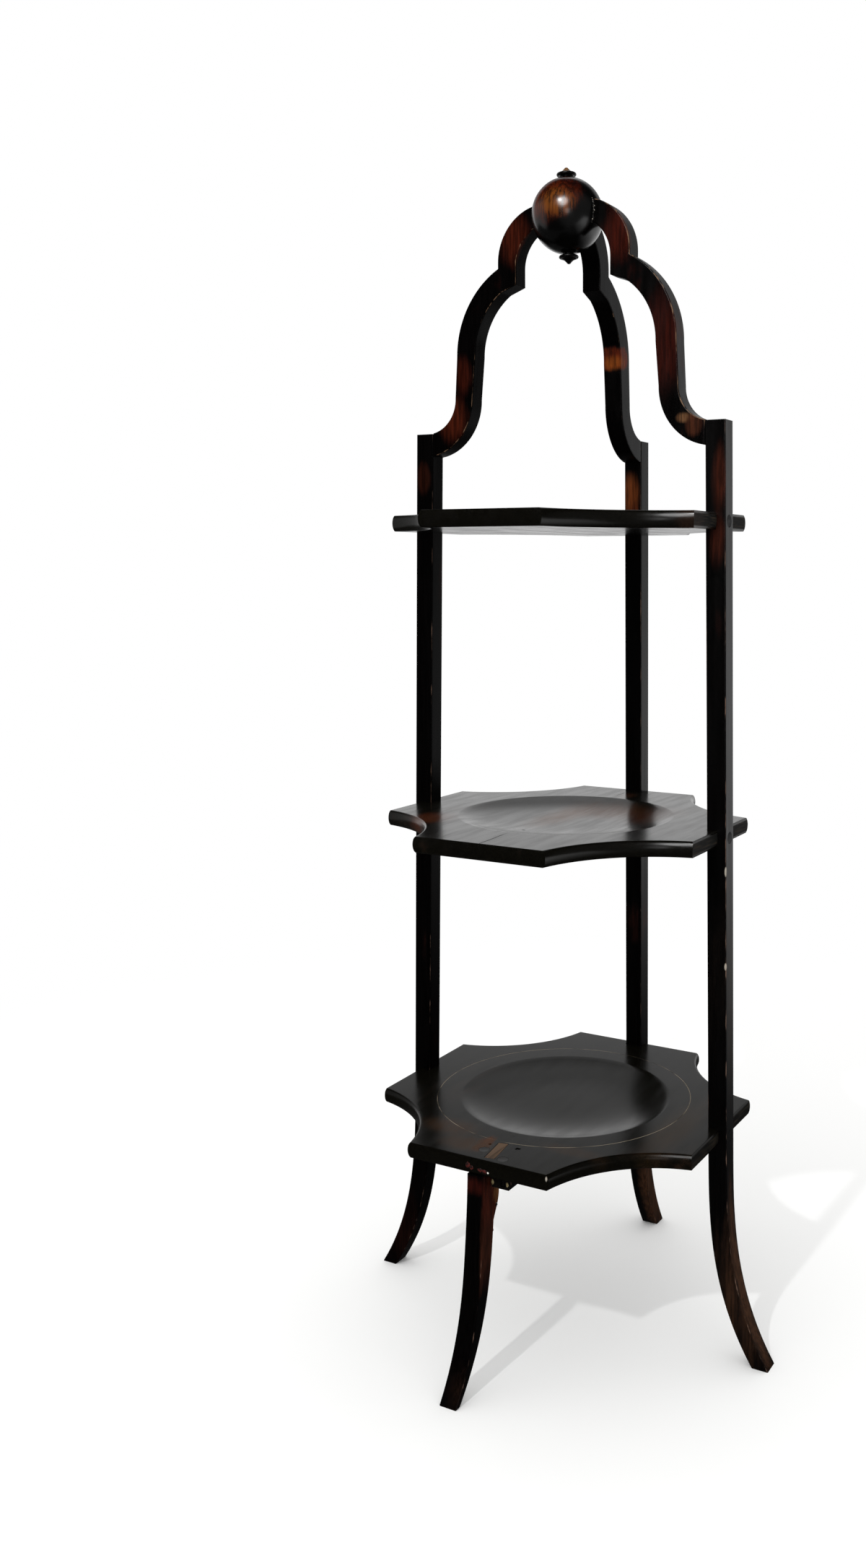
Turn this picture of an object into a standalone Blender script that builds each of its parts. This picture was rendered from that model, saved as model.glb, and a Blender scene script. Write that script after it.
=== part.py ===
"""Three-tier ebonised cake stand, built from its separate pieces.

Three shelves of one star plan are let into three long uprights, each a post and a sabre leg in one
board. A short front leg stands under the bottom shelf, where the stand is open. Three arches spring
from the heads of the uprights and meet at a turned ball with a button above and below it.

Lengths are in metres, +Z is up, the floor is at zero and the open front faces -Y. Every side of the
stand is modelled along its own +X and then turned round the stand's axis by its empty.
"""

import math

import bmesh
import bpy
from mathutils import Matrix, Vector

MM = 0.001

# Fits and finish of every piece
CLEARANCE = 0.3 * MM
OVERRUN = 4.0 * MM
MERGE_DISTANCE = 0.01 * MM
ARRIS = 0.8 * MM
ARRIS_STEPS = 2
SMOOTH_ANGLE = math.radians(32.0)

# Heights, from the floor up: shelves are placed by the middle of their thickness
BOTTOM_SHELF_HEIGHT = 192.0 * MM
LOWER_BAY = 243.6 * MM
UPPER_BAY = 242.0 * MM
HEAD_ROOM = 73.9 * MM
MIDDLE_SHELF_HEIGHT = BOTTOM_SHELF_HEIGHT + LOWER_BAY
TOP_SHELF_HEIGHT = MIDDLE_SHELF_HEIGHT + UPPER_BAY
POST_TOP = TOP_SHELF_HEIGHT + HEAD_ROOM

# Uprights: the spreads are from the axis to the tip of the toe and to the post's inner face, which
# leans out towards the floor
TOE_SPREAD = 190.4 * MM
POST_WIDTH = 16.0 * MM
POST_BREADTH = 15.8 * MM
POST_SPREAD_TOP = 121.3 * MM
POST_SPREAD_FLOOR = 139.0 * MM
SABRE_HEIGHT = 180.0 * MM
TOE_TAPER = 1.7 * MM
SABRE_POWER = 3
SABRE_STEPS = 12

# Shelves
SHELF_THICKNESS = 12.7 * MM
SHELF_LAP = 9.2 * MM
CORNER_CUT = 80.4 * MM
SCOOP_RADIUS = 104.0 * MM
SCOOP_STEPS = 9
NOSING_RADIUS = 3.0 * MM
EDGE_EASE = 1.0 * MM
NOSING_STEPS = 3
WELL_RADIUS = 88.0 * MM
WELL_DEPTH = 5.5 * MM
WELL_POWER = 4
WELL_SEGMENTS = 40
WELL_RINGS = 6

# Arches: a hollow at the post's head, a round shoulder, a step and a quarter-round crown. The spreads
# are from the axis to where each curve turns upright
ARCH_RISE = 0.6 * MM
HEAD_DEPTH = 18.6 * MM
HOLLOW_SPREAD = 99.0 * MM
HOLLOW_RADIUS = 27.0 * MM
HOLLOW_INNER_SPREAD = 82.7 * MM
HOLLOW_INNER_RADIUS = 45.2 * MM
SHOULDER_SPREAD = 97.0 * MM
SHOULDER_RADIUS = 72.8 * MM
SHOULDER_WIDTH = 17.3 * MM
SHOULDER_LIFT = 58.9 * MM
STEP_SPREAD = 57.8 * MM
STEP_DROP = 13.4 * MM
LEDGE_SPREAD = 54.5 * MM
CROWN_RADIUS = 39.8 * MM
CROWN_LIFT = 4.1 * MM
CROWN_INNER_SPREAD = 41.3 * MM
CROWN_INNER_RADIUS = 30.0 * MM
ARC_STEPS = 9

# Ball and its buttons, a little askew as one
BALL_RADIUS = 27.9 * MM
BALL_DROP = 9.3 * MM
BALL_SHIFT = 0.8 * MM
BALL_TILT = math.radians(-2.0)
BALL_SEGMENTS = 32
BALL_RINGS = 16
COPE_DEPTH = 8.0 * MM
BUTTON_RADIUS = 7.65 * MM
BUTTON_NECK_RADIUS = 5.0 * MM
BUTTON_NECK = 0.9 * MM
BUTTON_FLANGE = 2.2 * MM
BUTTON_ROUND = 0.7 * MM
BUTTON_POINT = 4.2 * MM
BUTTON_POINT_SHARES = ((0.8, 0.0), (0.42, 0.3), (0.2, 0.7), (0.0, 1.0))
SPIGOT_RADIUS = 3.0 * MM
SPIGOT_LENGTH = 11.0 * MM

# Front leg: a shorter board under the bottom shelf, refixed a little askew
FRONT_TOE_SPREAD = 167.2 * MM
FRONT_TOE_DEPTH = 5.6 * MM
FRONT_LEG_PROUD = 0.5 * MM
FRONT_SABRE_HEIGHT = 128.0 * MM
FRONT_INNER_SABRE_HEIGHT = 143.0 * MM
FRONT_LEAN = 13.4 * MM
FRONT_LEAN_POWER = 1.35
HEEL_DEPTH = 6.5 * MM
HEEL_HEIGHT = 22.0 * MM
HEEL_RAMP = 20.0 * MM

# Glue block beside the front leg and repair strip let into the shelf above it
BLOCK_LENGTH = 17.8 * MM
BLOCK_DEPTH = 13.4 * MM
BLOCK_HEIGHT = 11.8 * MM
BLOCK_SETBACK = 9.0 * MM
STRIP_LENGTH = 27.9 * MM
STRIP_WIDTH = 8.0 * MM
STRIP_THICKNESS = 4.0 * MM
STRIP_SETBACK = 5.5 * MM
STRIP_SHIFT = 6.4 * MM
STRIP_TURN = math.radians(8.2)

# Fasteners
SCREW_HEAD_RADIUS = 3.8 * MM
SCREW_SHANK_RADIUS = 2.0 * MM
SCREW_HEAD_RIM = 0.6 * MM
SCREW_CONE = 2.4 * MM
SCREW_TIP = 5.0 * MM
SHELF_SCREW_LENGTH = 32.0 * MM
LEG_SCREW_LENGTH = 31.0 * MM
LEG_SCREW_INSET = 5.0 * MM
LEG_SCREW_SHIFT = -3.2 * MM
BLOCK_SCREW_INSET = 13.4 * MM
BLOCK_SCREW_SHIFT = 18.5 * MM
BLOCK_SCREW_LENGTH = 20.5 * MM
SCREW_SINK = 2.0 * MM
PLUG_RADIUS = 4.6 * MM
PLUG_LENGTH = 4.0 * MM
DOWEL_RADIUS = 3.0 * MM
DOWEL_IN_POST = 10.0 * MM
DOWEL_IN_ARCH_HEAD = 12.0 * MM
DOWEL_IN_BALL = 10.0 * MM
DOWEL_IN_CROWN = 9.0 * MM
DOWEL_CHAMFER = 0.6 * MM
ROUND_SEGMENTS = 16

# Heights and reaches that follow from the values above
SPLAY_SHARE = (POST_SPREAD_FLOOR - POST_SPREAD_TOP) / POST_TOP
HEAD_LINE = POST_TOP + ARCH_RISE
SHOULDER_HEIGHT = HEAD_LINE + SHOULDER_LIFT
SHOULDER_OFFSET = SHOULDER_SPREAD - SHOULDER_RADIUS
STEP_HEIGHT = SHOULDER_HEIGHT + math.sqrt(SHOULDER_RADIUS ** 2 - (STEP_SPREAD - SHOULDER_OFFSET) ** 2)
CROWN_HEIGHT = STEP_HEIGHT + CROWN_LIFT
BALL_HEIGHT = CROWN_HEIGHT + CROWN_RADIUS - BALL_DROP
HEAD_DOWEL_HEIGHT = HEAD_LINE - HEAD_DEPTH / 2
BOTTOM_SHELF_TOP = BOTTOM_SHELF_HEIGHT + SHELF_THICKNESS / 2
FRONT_LEG_TOP = BOTTOM_SHELF_HEIGHT - SHELF_THICKNESS / 2 - CLEARANCE

SHELF_HEIGHTS = {
    "bottom": BOTTOM_SHELF_HEIGHT,
    "middle": MIDDLE_SHELF_HEIGHT,
    "top": TOP_SHELF_HEIGHT,
}
SIDE_TURNS = {"right": 0, "back": 1, "left": 2}
QUARTER_TURN = math.pi / 2
OUTWARD = Matrix.Rotation(QUARTER_TURN, 4, "Y")


def post_inner(height):
    """Distance from the axis to the straight line of a post's inner face."""
    return POST_SPREAD_FLOOR - SPLAY_SHARE * height


def post_outer(height):
    """Distance from the axis to the straight line of a post's outer face."""
    return post_inner(height) + POST_WIDTH


def shelf_half_width(height):
    """Half the width of a shelf across its straight edges, which lap over the posts."""
    return post_inner(height) + SHELF_LAP


FRONT_LEG_OUTER = shelf_half_width(BOTTOM_SHELF_HEIGHT) + FRONT_LEG_PROUD
FRONT_LEG_INNER = FRONT_LEG_OUTER - POST_WIDTH
FRONT_REACH = FRONT_TOE_SPREAD - FRONT_LEG_OUTER
FRONT_INNER_REACH = FRONT_TOE_SPREAD - FRONT_TOE_DEPTH - FRONT_LEG_INNER
SABRE_REACH = TOE_SPREAD - post_outer(0)


def flare(height, sabre_height, reach):
    """How far a sabre leg has swept outwards at a height above the floor."""
    return reach * max(0, 1 - height / sabre_height) ** SABRE_POWER


def arc(centre_x, centre_z, radius, start, end, steps=ARC_STEPS):
    """Points of a circular arc between two angles in radians."""
    turns = [start + (end - start) * step / steps for step in range(steps + 1)]
    return [(centre_x + radius * math.cos(turn), centre_z + radius * math.sin(turn)) for turn in turns]


def board(outline, breadth, arris=0):
    """A board with its outline in X and Z, its breadth centred on Y and its long arrises eased."""
    mesh = bmesh.new()
    face = mesh.faces.new([mesh.verts.new((x, -breadth / 2, z)) for x, z in outline])
    grown = bmesh.ops.extrude_face_region(mesh, geom=[face])["geom"]
    moved = [item for item in grown if isinstance(item, bmesh.types.BMVert)]
    bmesh.ops.translate(mesh, verts=moved, vec=(0, breadth, 0))
    bmesh.ops.recalc_face_normals(mesh, faces=mesh.faces)
    if arris:
        flat_edges = [edge for edge in mesh.edges if edge.verts[0].co.y * edge.verts[1].co.y > 0]
        bmesh.ops.bevel(mesh, geom=flat_edges, offset=arris, segments=ARRIS_STEPS, profile=0.5, affect="EDGES")
    return mesh


def turned(profile, segments):
    """A closed solid turned round Z from (radius, height) points that start and end on the axis."""
    mesh = bmesh.new()
    points = [mesh.verts.new((radius, 0, height)) for radius, height in profile]
    edges = [mesh.edges.new(pair) for pair in zip(points, points[1:])]
    bmesh.ops.spin(mesh, geom=points + edges, cent=(0, 0, 0), axis=(0, 0, 1), angle=math.tau, steps=segments)
    bmesh.ops.remove_doubles(mesh, verts=mesh.verts, dist=MERGE_DISTANCE)
    bmesh.ops.recalc_face_normals(mesh, faces=mesh.faces)
    return mesh


def place(name, mesh, parent, material=None, matrix=Matrix()):
    """Make an object from a mesh, under its parent. Without a material it is a cutter."""
    data = bpy.data.meshes.new(name)
    mesh.to_mesh(data)
    mesh.free()
    data.shade_smooth()
    data.set_sharp_from_angle(angle=SMOOTH_ANGLE)
    piece = bpy.data.objects.new(name, data)
    bpy.context.collection.objects.link(piece)
    piece.parent = parent
    piece.matrix_local = matrix
    if material is None:
        piece.hide_render = True
        piece.display_type = "WIRE"
    else:
        data.materials.append(material)
    return piece


def cut(piece, *cutters):
    """Cut each cutter's shape out of a piece."""
    for cutter in cutters:
        boolean = piece.modifiers.new(cutter.name, "BOOLEAN")
        boolean.operation = "DIFFERENCE"
        boolean.solver = "EXACT"
        boolean.object = cutter


def finish(name, colour, roughness, metallic=0.0):
    """A plain finish: colour, roughness and metallic value."""
    material = bpy.data.materials.new(name)
    material.use_nodes = True
    shader = material.node_tree.nodes["Principled BSDF"]
    shader.inputs["Base Color"].default_value = (*colour, 1.0)
    shader.inputs["Roughness"].default_value = roughness
    shader.inputs["Metallic"].default_value = metallic
    return material


def upright_finish():
    """Ebonised wood, worn to brown."""
    return finish("upright_ebonised_wood", (0.014, 0.010, 0.008), 0.38)


def arch_finish():
    """Ebonised wood rubbed to red-brown on the faces."""
    return finish("arch_ebonised_wood", (0.026, 0.012, 0.008), 0.36)


def ball_finish():
    """Turned wood, polished, its black rubbed through."""
    return finish("ball_polished_wood", (0.045, 0.014, 0.007), 0.22)


def button_finish():
    """Turned wood, darker than the ball."""
    return finish("button_turned_wood", (0.022, 0.011, 0.008), 0.32)


def shelf_finish():
    """Ebonised board with a satin polish."""
    return finish("shelf_ebonised_board", (0.017, 0.013, 0.011), 0.33)


def leg_finish():
    """Ebonised wood, with reddish filler about the joint."""
    return finish("front_leg_ebonised_wood", (0.017, 0.010, 0.008), 0.42)


def block_finish():
    """Softwood block, stained black."""
    return finish("glue_block_stained_wood", (0.016, 0.013, 0.010), 0.55)


def strip_finish():
    """Newer wood, lighter than the shelf."""
    return finish("repair_strip_wood", (0.085, 0.062, 0.045), 0.45)


def plug_finish():
    """Wood plugs, stained with the uprights."""
    return finish("plug_stained_wood", (0.012, 0.009, 0.008), 0.5)


def dowel_finish():
    """Bare beech."""
    return finish("dowel_beech", (0.42, 0.27, 0.14), 0.7)


def screw_finish():
    """Steel, dulled."""
    return finish("screw_steel", (0.32, 0.30, 0.28), 0.45, 1.0)


def sphere_profile(radius):
    """Half circle from the bottom pole to the top pole."""
    steps = range(BALL_RINGS + 1)
    inner = [(radius * math.sin(math.pi * step / BALL_RINGS), -radius * math.cos(math.pi * step / BALL_RINGS))
             for step in steps]
    return [(0, -radius)] + inner[1:-1] + [(0, radius)]


def rod_profile(radius, low, high, chamfer=0):
    """A round rod between two heights, with chamfered ends if asked."""
    if not chamfer:
        return [(0, low), (radius, low), (radius, high), (0, high)]
    return [(0, low), (radius - chamfer, low), (radius, low + chamfer),
            (radius, high - chamfer), (radius - chamfer, high), (0, high)]


def screw_profile(length):
    """A countersunk wood screw, its head's top at zero and its point down."""
    return [
        (0, -length),
        (SCREW_SHANK_RADIUS, SCREW_TIP - length),
        (SCREW_SHANK_RADIUS, -SCREW_HEAD_RIM - SCREW_CONE),
        (SCREW_HEAD_RADIUS, -SCREW_HEAD_RIM),
        (SCREW_HEAD_RADIUS, 0),
        (0, 0),
    ]


def screw_hole_profile(length, mouth_radius, mouth_depth):
    """The hole round such a screw, with a wider mouth above its head."""
    shank = SCREW_SHANK_RADIUS + CLEARANCE
    head = SCREW_HEAD_RADIUS + CLEARANCE
    cone_top = CLEARANCE - SCREW_HEAD_RIM
    return [
        (0, -length - CLEARANCE),
        (shank, -length - CLEARANCE),
        (shank, cone_top - SCREW_CONE - CLEARANCE * 2),
        (head, cone_top - CLEARANCE * 2),
        (head, 0),
        (mouth_radius, 0),
        (mouth_radius, mouth_depth + OVERRUN),
        (0, mouth_depth + OVERRUN),
    ]


def upright_outline():
    """Post and sabre leg in one outline, from the floor up the outside and down the inside."""
    heights = [SABRE_HEIGHT * step / SABRE_STEPS for step in range(SABRE_STEPS + 1)]
    outside = [(post_outer(z) + flare(z, SABRE_HEIGHT, SABRE_REACH), z) for z in heights]
    inside = [(post_inner(z) + flare(z, SABRE_HEIGHT, SABRE_REACH + TOE_TAPER), z) for z in heights]
    head = [(post_outer(POST_TOP), POST_TOP), (post_inner(POST_TOP), POST_TOP)]
    return outside + head + inside[::-1]


def front_leg_outline():
    """The front leg with its deeper heel under the shelf, before it leans."""
    shares = [step / SABRE_STEPS for step in range(SABRE_STEPS + 1)]
    outer_heights = [FRONT_SABRE_HEIGHT * share for share in shares]
    inner_heights = [FRONT_INNER_SABRE_HEIGHT * share for share in shares]
    outside = [(FRONT_LEG_OUTER + flare(z, FRONT_SABRE_HEIGHT, FRONT_REACH), z) for z in outer_heights]
    inside = [(FRONT_LEG_INNER + flare(z, FRONT_INNER_SABRE_HEIGHT, FRONT_INNER_REACH), z) for z in inner_heights]
    heel = FRONT_LEG_INNER - HEEL_DEPTH
    heel_foot = FRONT_LEG_TOP - HEEL_HEIGHT
    head = [(FRONT_LEG_OUTER, FRONT_LEG_TOP), (heel, FRONT_LEG_TOP), (heel, heel_foot)]
    ramp_foot = [(FRONT_LEG_INNER, heel_foot - HEEL_RAMP)]
    return outside[:-1] + head + ramp_foot + inside[::-1][1:]


def hollow(end, end_height, spread, radius):
    """The hollow at an arch's head: from its end at the post up to where it turns upright."""
    centre = spread + radius
    centre_height = end_height + math.sqrt(radius ** 2 - (centre - end) ** 2)
    start = 2 * math.pi - math.acos((end - centre) / radius)
    return arc(centre, centre_height, radius, start, math.pi)


def arch_outline():
    """One arch, from the post's head over its outside to the ball and back along its inside."""
    end = BALL_RADIUS - COPE_DEPTH
    head_end = post_inner(HEAD_LINE) - CLEARANCE
    heel_end = post_inner(HEAD_LINE - HEAD_DEPTH) - CLEARANCE
    inner_shoulder = SHOULDER_RADIUS - SHOULDER_WIDTH
    crown_offset = STEP_SPREAD - CROWN_RADIUS
    crown_inner_offset = CROWN_INNER_SPREAD - CROWN_INNER_RADIUS
    shoulder_end = math.acos((STEP_SPREAD - SHOULDER_OFFSET) / SHOULDER_RADIUS)
    ledge_start = math.acos((LEDGE_SPREAD - SHOULDER_OFFSET) / inner_shoulder)
    crown_end = math.acos((end - crown_offset) / CROWN_RADIUS)
    crown_inner_end = math.acos((end - crown_inner_offset) / CROWN_INNER_RADIUS)
    outside = hollow(head_end, HEAD_LINE, HOLLOW_SPREAD, HOLLOW_RADIUS)
    outside += arc(SHOULDER_OFFSET, SHOULDER_HEIGHT, SHOULDER_RADIUS, 0, shoulder_end)
    outside += arc(crown_offset, CROWN_HEIGHT, CROWN_RADIUS, 0, crown_end)
    inside = arc(crown_inner_offset, STEP_HEIGHT, CROWN_INNER_RADIUS, crown_inner_end, 0)
    inside += [(CROWN_INNER_SPREAD, STEP_HEIGHT - STEP_DROP)]
    inside += arc(SHOULDER_OFFSET, SHOULDER_HEIGHT, inner_shoulder, ledge_start, 0)
    inside += hollow(heel_end, HEAD_LINE - HEAD_DEPTH, HOLLOW_INNER_SPREAD, HOLLOW_INNER_RADIUS)[::-1]
    return outside + inside


def shelf_ring(half_width, inset):
    """The shelf's star plan drawn in by an inset, its scooped corners more than its straight edges."""
    edge_inset = inset * EDGE_EASE / NOSING_RADIUS
    half_chord = CORNER_CUT / math.sqrt(2)
    middle = half_width - CORNER_CUT / 2
    centre = middle + math.sqrt(SCOOP_RADIUS ** 2 - half_chord ** 2) / math.sqrt(2)
    radius = SCOOP_RADIUS + inset
    across = half_width - edge_inset - centre
    along = math.sqrt(radius ** 2 - across ** 2)
    scoop = arc(centre, centre, radius, math.atan2(-along, across), math.atan2(across, -along), SCOOP_STEPS)
    turns = [Matrix.Rotation(QUARTER_TURN * quarter, 2) for quarter in range(4)]
    return [turn @ Vector(point) for turn in turns for point in scoop]


def nosing_steps():
    """Inset and height of each ring of a scoop's rounded edge, from the underside to the top."""
    flat = SHELF_THICKNESS / 2 - NOSING_RADIUS
    turns = [QUARTER_TURN * step / NOSING_STEPS for step in range(NOSING_STEPS + 1)]
    upper = [(NOSING_RADIUS * (1 - math.cos(turn)), flat + NOSING_RADIUS * math.sin(turn)) for turn in turns]
    lower = [(inset, -height) for inset, height in upper[::-1]]
    return lower + upper


def shelf_board(height):
    """A shelf before its well and notches are cut, with its middle at zero."""
    half_width = shelf_half_width(height)
    mesh = bmesh.new()
    rings = []
    for inset, level in nosing_steps():
        rings.append([mesh.verts.new((point.x, point.y, level)) for point in shelf_ring(half_width, inset)])
    for low, high in zip(rings, rings[1:]):
        for index in range(len(low)):
            after = (index + 1) % len(low)
            mesh.faces.new([low[index], low[after], high[after], high[index]])
    mesh.faces.new(rings[0][::-1])
    mesh.faces.new(rings[-1])
    bmesh.ops.recalc_face_normals(mesh, faces=mesh.faces)
    return mesh


def well_cutter():
    """The round dish of a shelf, nearly flat in the middle and rising to its rim."""
    radii = [WELL_RADIUS * math.sqrt(ring / WELL_RINGS) for ring in range(WELL_RINGS + 1)]
    dish = [(radius, -WELL_DEPTH * (1 - (radius / WELL_RADIUS) ** WELL_POWER)) for radius in radii]
    return turned(dish + [(WELL_RADIUS, OVERRUN), (0, OVERRUN)], WELL_SEGMENTS)


def notch_cutter(height):
    """The notch in a shelf's edge that an upright passes through, leaning with the upright."""
    low = -SHELF_THICKNESS / 2 - OVERRUN
    high = SHELF_THICKNESS / 2 + OVERRUN
    outside = post_outer(height) + OVERRUN
    inside_low = post_inner(height + low) - CLEARANCE
    inside_high = post_inner(height + high) - CLEARANCE
    outline = [(inside_low, low), (outside, low), (outside, high), (inside_high, high)]
    return board(outline, POST_BREADTH + 2 * CLEARANCE)


def raised(height):
    """A move straight up."""
    return Matrix.Translation((0, 0, height))


def box(length, breadth, thickness):
    """A plain block with its middle at zero, its arrises eased."""
    outline = [(-length / 2, -thickness / 2), (length / 2, -thickness / 2),
               (length / 2, thickness / 2), (-length / 2, thickness / 2)]
    return board(outline, breadth)


def make_empty(name, parent=None, turn=0.0, location=(0, 0, 0), tilt=0.0):
    """A bare axis that other pieces are placed under, turned round Z and tilted round Y."""
    empty = bpy.data.objects.new(name, None)
    bpy.context.collection.objects.link(empty)
    empty.parent = parent
    empty.location = location
    empty.rotation_euler = (0, tilt, turn)
    return empty


def make_shelves(axis):
    """The three shelves with their wells."""
    shelves = {}
    for tier, height in SHELF_HEIGHTS.items():
        shelf = place(f"{tier}_shelf", shelf_board(height), axis, shelf_finish(), raised(height))
        well = place(f"{tier}_well_cutter", well_cutter(), axis, matrix=raised(height + SHELF_THICKNESS / 2))
        cut(shelf, well)
        shelves[tier] = shelf
    return shelves


def make_upright(side, axis):
    """One upright: post and sabre leg in one board."""
    return place(f"{side}_upright", board(upright_outline(), POST_BREADTH, ARRIS), axis, upright_finish())


def make_arch(side, axis, cope):
    """One arch, its upper end coped to the ball."""
    arch = place(f"{side}_arch", board(arch_outline(), POST_BREADTH, ARRIS), axis, arch_finish())
    cut(arch, cope)
    return arch


def make_shelf_fixing(side, tier, axis, upright, shelf):
    """The screw from an upright into a shelf, and the plug over its head."""
    height = SHELF_HEIGHTS[tier]
    face = post_outer(height)
    head = face - PLUG_LENGTH - CLEARANCE
    screw_place = Matrix.Translation((head, 0, height)) @ OUTWARD
    place(f"{side}_{tier}_shelf_screw", turned(screw_profile(SHELF_SCREW_LENGTH), ROUND_SEGMENTS), axis,
          screw_finish(), screw_place)
    plug_place = Matrix.Translation((face, 0, height)) @ OUTWARD
    place(f"{side}_{tier}_screw_plug", turned(rod_profile(PLUG_RADIUS, -PLUG_LENGTH, 0), ROUND_SEGMENTS), axis,
          plug_finish(), plug_place)
    hole_profile = screw_hole_profile(SHELF_SCREW_LENGTH, PLUG_RADIUS + CLEARANCE, PLUG_LENGTH)
    hole = place(f"{side}_{tier}_screw_hole", turned(hole_profile, ROUND_SEGMENTS), axis, matrix=screw_place)
    notch = place(f"{side}_{tier}_notch", notch_cutter(height), axis, matrix=raised(height))
    cut(upright, hole)
    cut(shelf, notch, hole)


def make_dowel(name, axis, joint, height, inward, outward, pieces):
    """A dowel along X through a joint, and its hole in the two pieces that it joins."""
    dowel_place = Matrix.Translation((joint, 0, height)) @ OUTWARD
    profile = rod_profile(DOWEL_RADIUS, -inward, outward, DOWEL_CHAMFER)
    place(name, turned(profile, ROUND_SEGMENTS), axis, dowel_finish(), dowel_place)
    bore = rod_profile(DOWEL_RADIUS + CLEARANCE, -inward - CLEARANCE, outward + CLEARANCE)
    hole = place(f"{name}_hole", turned(bore, ROUND_SEGMENTS), axis, matrix=dowel_place)
    for piece in pieces:
        cut(piece, hole)


def make_side(side, axis, shelves, ball, cope):
    """An upright with its arch, its three shelf fixings and its two dowels."""
    upright = make_upright(side, axis)
    arch = make_arch(side, axis, cope)
    for tier, shelf in shelves.items():
        make_shelf_fixing(side, tier, axis, upright, shelf)
    make_dowel(f"{side}_head_dowel", axis, post_inner(HEAD_DOWEL_HEIGHT), HEAD_DOWEL_HEIGHT,
               DOWEL_IN_ARCH_HEAD, DOWEL_IN_POST, (upright, arch))
    make_dowel(f"{side}_ball_dowel", axis, BALL_RADIUS, BALL_HEIGHT, DOWEL_IN_BALL, DOWEL_IN_CROWN, (ball, arch))


def make_ball(axis):
    """The ball on its own axis, with a slightly larger twin that copes the arches to it."""
    ball_axis = make_empty("ball_axis", axis, location=(BALL_SHIFT, 0, BALL_HEIGHT), tilt=BALL_TILT)
    ball = place("ball", turned(sphere_profile(BALL_RADIUS), BALL_SEGMENTS), ball_axis, ball_finish())
    cope = place("ball_cope", turned(sphere_profile(BALL_RADIUS + CLEARANCE), BALL_SEGMENTS), ball_axis)
    return ball_axis, ball, cope


def button_profile():
    """A turned button on its spigot: neck, flange and low point, its seat just above zero."""
    flange_foot = CLEARANCE + BUTTON_NECK
    flange_top = flange_foot + BUTTON_FLANGE
    spigot = [(0, -SPIGOT_LENGTH), (SPIGOT_RADIUS, -SPIGOT_LENGTH), (SPIGOT_RADIUS, CLEARANCE)]
    neck = [(BUTTON_NECK_RADIUS, CLEARANCE), (BUTTON_NECK_RADIUS, flange_foot)]
    flange = [(BUTTON_RADIUS, flange_foot + BUTTON_ROUND), (BUTTON_RADIUS, flange_top - BUTTON_ROUND)]
    point = [(BUTTON_RADIUS * out_share, flange_top + BUTTON_POINT * up_share)
             for out_share, up_share in BUTTON_POINT_SHARES]
    return spigot + neck + flange + point


def make_buttons(ball_axis, ball):
    """The button on the ball and its twin underneath, their spigots let into the ball."""
    upside_down = Matrix.Rotation(math.pi, 4, "X")
    poles = {
        "top": raised(BALL_RADIUS),
        "bottom": raised(-BALL_RADIUS) @ upside_down,
    }
    for name, pole in poles.items():
        place(f"{name}_button", turned(button_profile(), ROUND_SEGMENTS), ball_axis, button_finish(), pole)
        bore = rod_profile(SPIGOT_RADIUS + CLEARANCE, -SPIGOT_LENGTH - CLEARANCE, OVERRUN)
        hole = place(f"{name}_spigot_hole", turned(bore, ROUND_SEGMENTS), ball_axis, matrix=pole)
        cut(ball, hole)


def make_front_leg(axis):
    """The front leg, leaning sideways from its head under the shelf to its toe."""
    mesh = board(front_leg_outline(), POST_BREADTH, ARRIS)
    for vertex in mesh.verts:
        drop_share = max(0, 1 - vertex.co.z / FRONT_LEG_TOP)
        vertex.co.y -= FRONT_LEAN * drop_share ** FRONT_LEAN_POWER
    return place("front_leg", mesh, axis, leg_finish())


def make_glue_block(axis):
    """The block glued in the corner between the front leg and the shelf."""
    middle = FRONT_LEG_OUTER - BLOCK_SETBACK - BLOCK_DEPTH / 2
    aside = POST_BREADTH / 2 + CLEARANCE + BLOCK_LENGTH / 2
    level = FRONT_LEG_TOP - BLOCK_HEIGHT / 2
    return place("glue_block", box(BLOCK_DEPTH, BLOCK_LENGTH, BLOCK_HEIGHT), axis, block_finish(),
                 Matrix.Translation((middle, aside, level)))


def make_repair_strip(axis, shelf):
    """The strip of newer wood let into the shelf's top over the front leg."""
    outer_end = shelf_half_width(BOTTOM_SHELF_HEIGHT) - STRIP_SETBACK
    middle = outer_end - STRIP_LENGTH / 2
    turn = Matrix.Rotation(STRIP_TURN, 4, "Z")
    strip_place = Matrix.Translation((middle, STRIP_SHIFT, BOTTOM_SHELF_TOP - STRIP_THICKNESS / 2)) @ turn
    place("repair_strip", box(STRIP_LENGTH, STRIP_WIDTH, STRIP_THICKNESS), axis, strip_finish(), strip_place)
    pocket_height = STRIP_THICKNESS + CLEARANCE + OVERRUN
    pocket_place = Matrix.Translation(
        (middle, STRIP_SHIFT, BOTTOM_SHELF_TOP + OVERRUN - pocket_height / 2)) @ turn
    pocket = place("strip_pocket", box(STRIP_LENGTH + 2 * CLEARANCE, STRIP_WIDTH + 2 * CLEARANCE, pocket_height),
                   axis, matrix=pocket_place)
    cut(shelf, pocket)


def make_top_screw(name, axis, inset, shift, length, pieces):
    """A screw driven down through the bottom shelf into what stands under it."""
    screw_place = Matrix.Translation((FRONT_LEG_INNER - HEEL_DEPTH + inset, shift, BOTTOM_SHELF_TOP - SCREW_SINK))
    place(name, turned(screw_profile(length), ROUND_SEGMENTS), axis, screw_finish(), screw_place)
    hole_profile = screw_hole_profile(length, SCREW_HEAD_RADIUS + 2 * CLEARANCE, SCREW_SINK)
    hole = place(f"{name}_hole", turned(hole_profile, ROUND_SEGMENTS), axis, matrix=screw_place)
    for piece in pieces:
        cut(piece, hole)


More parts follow.
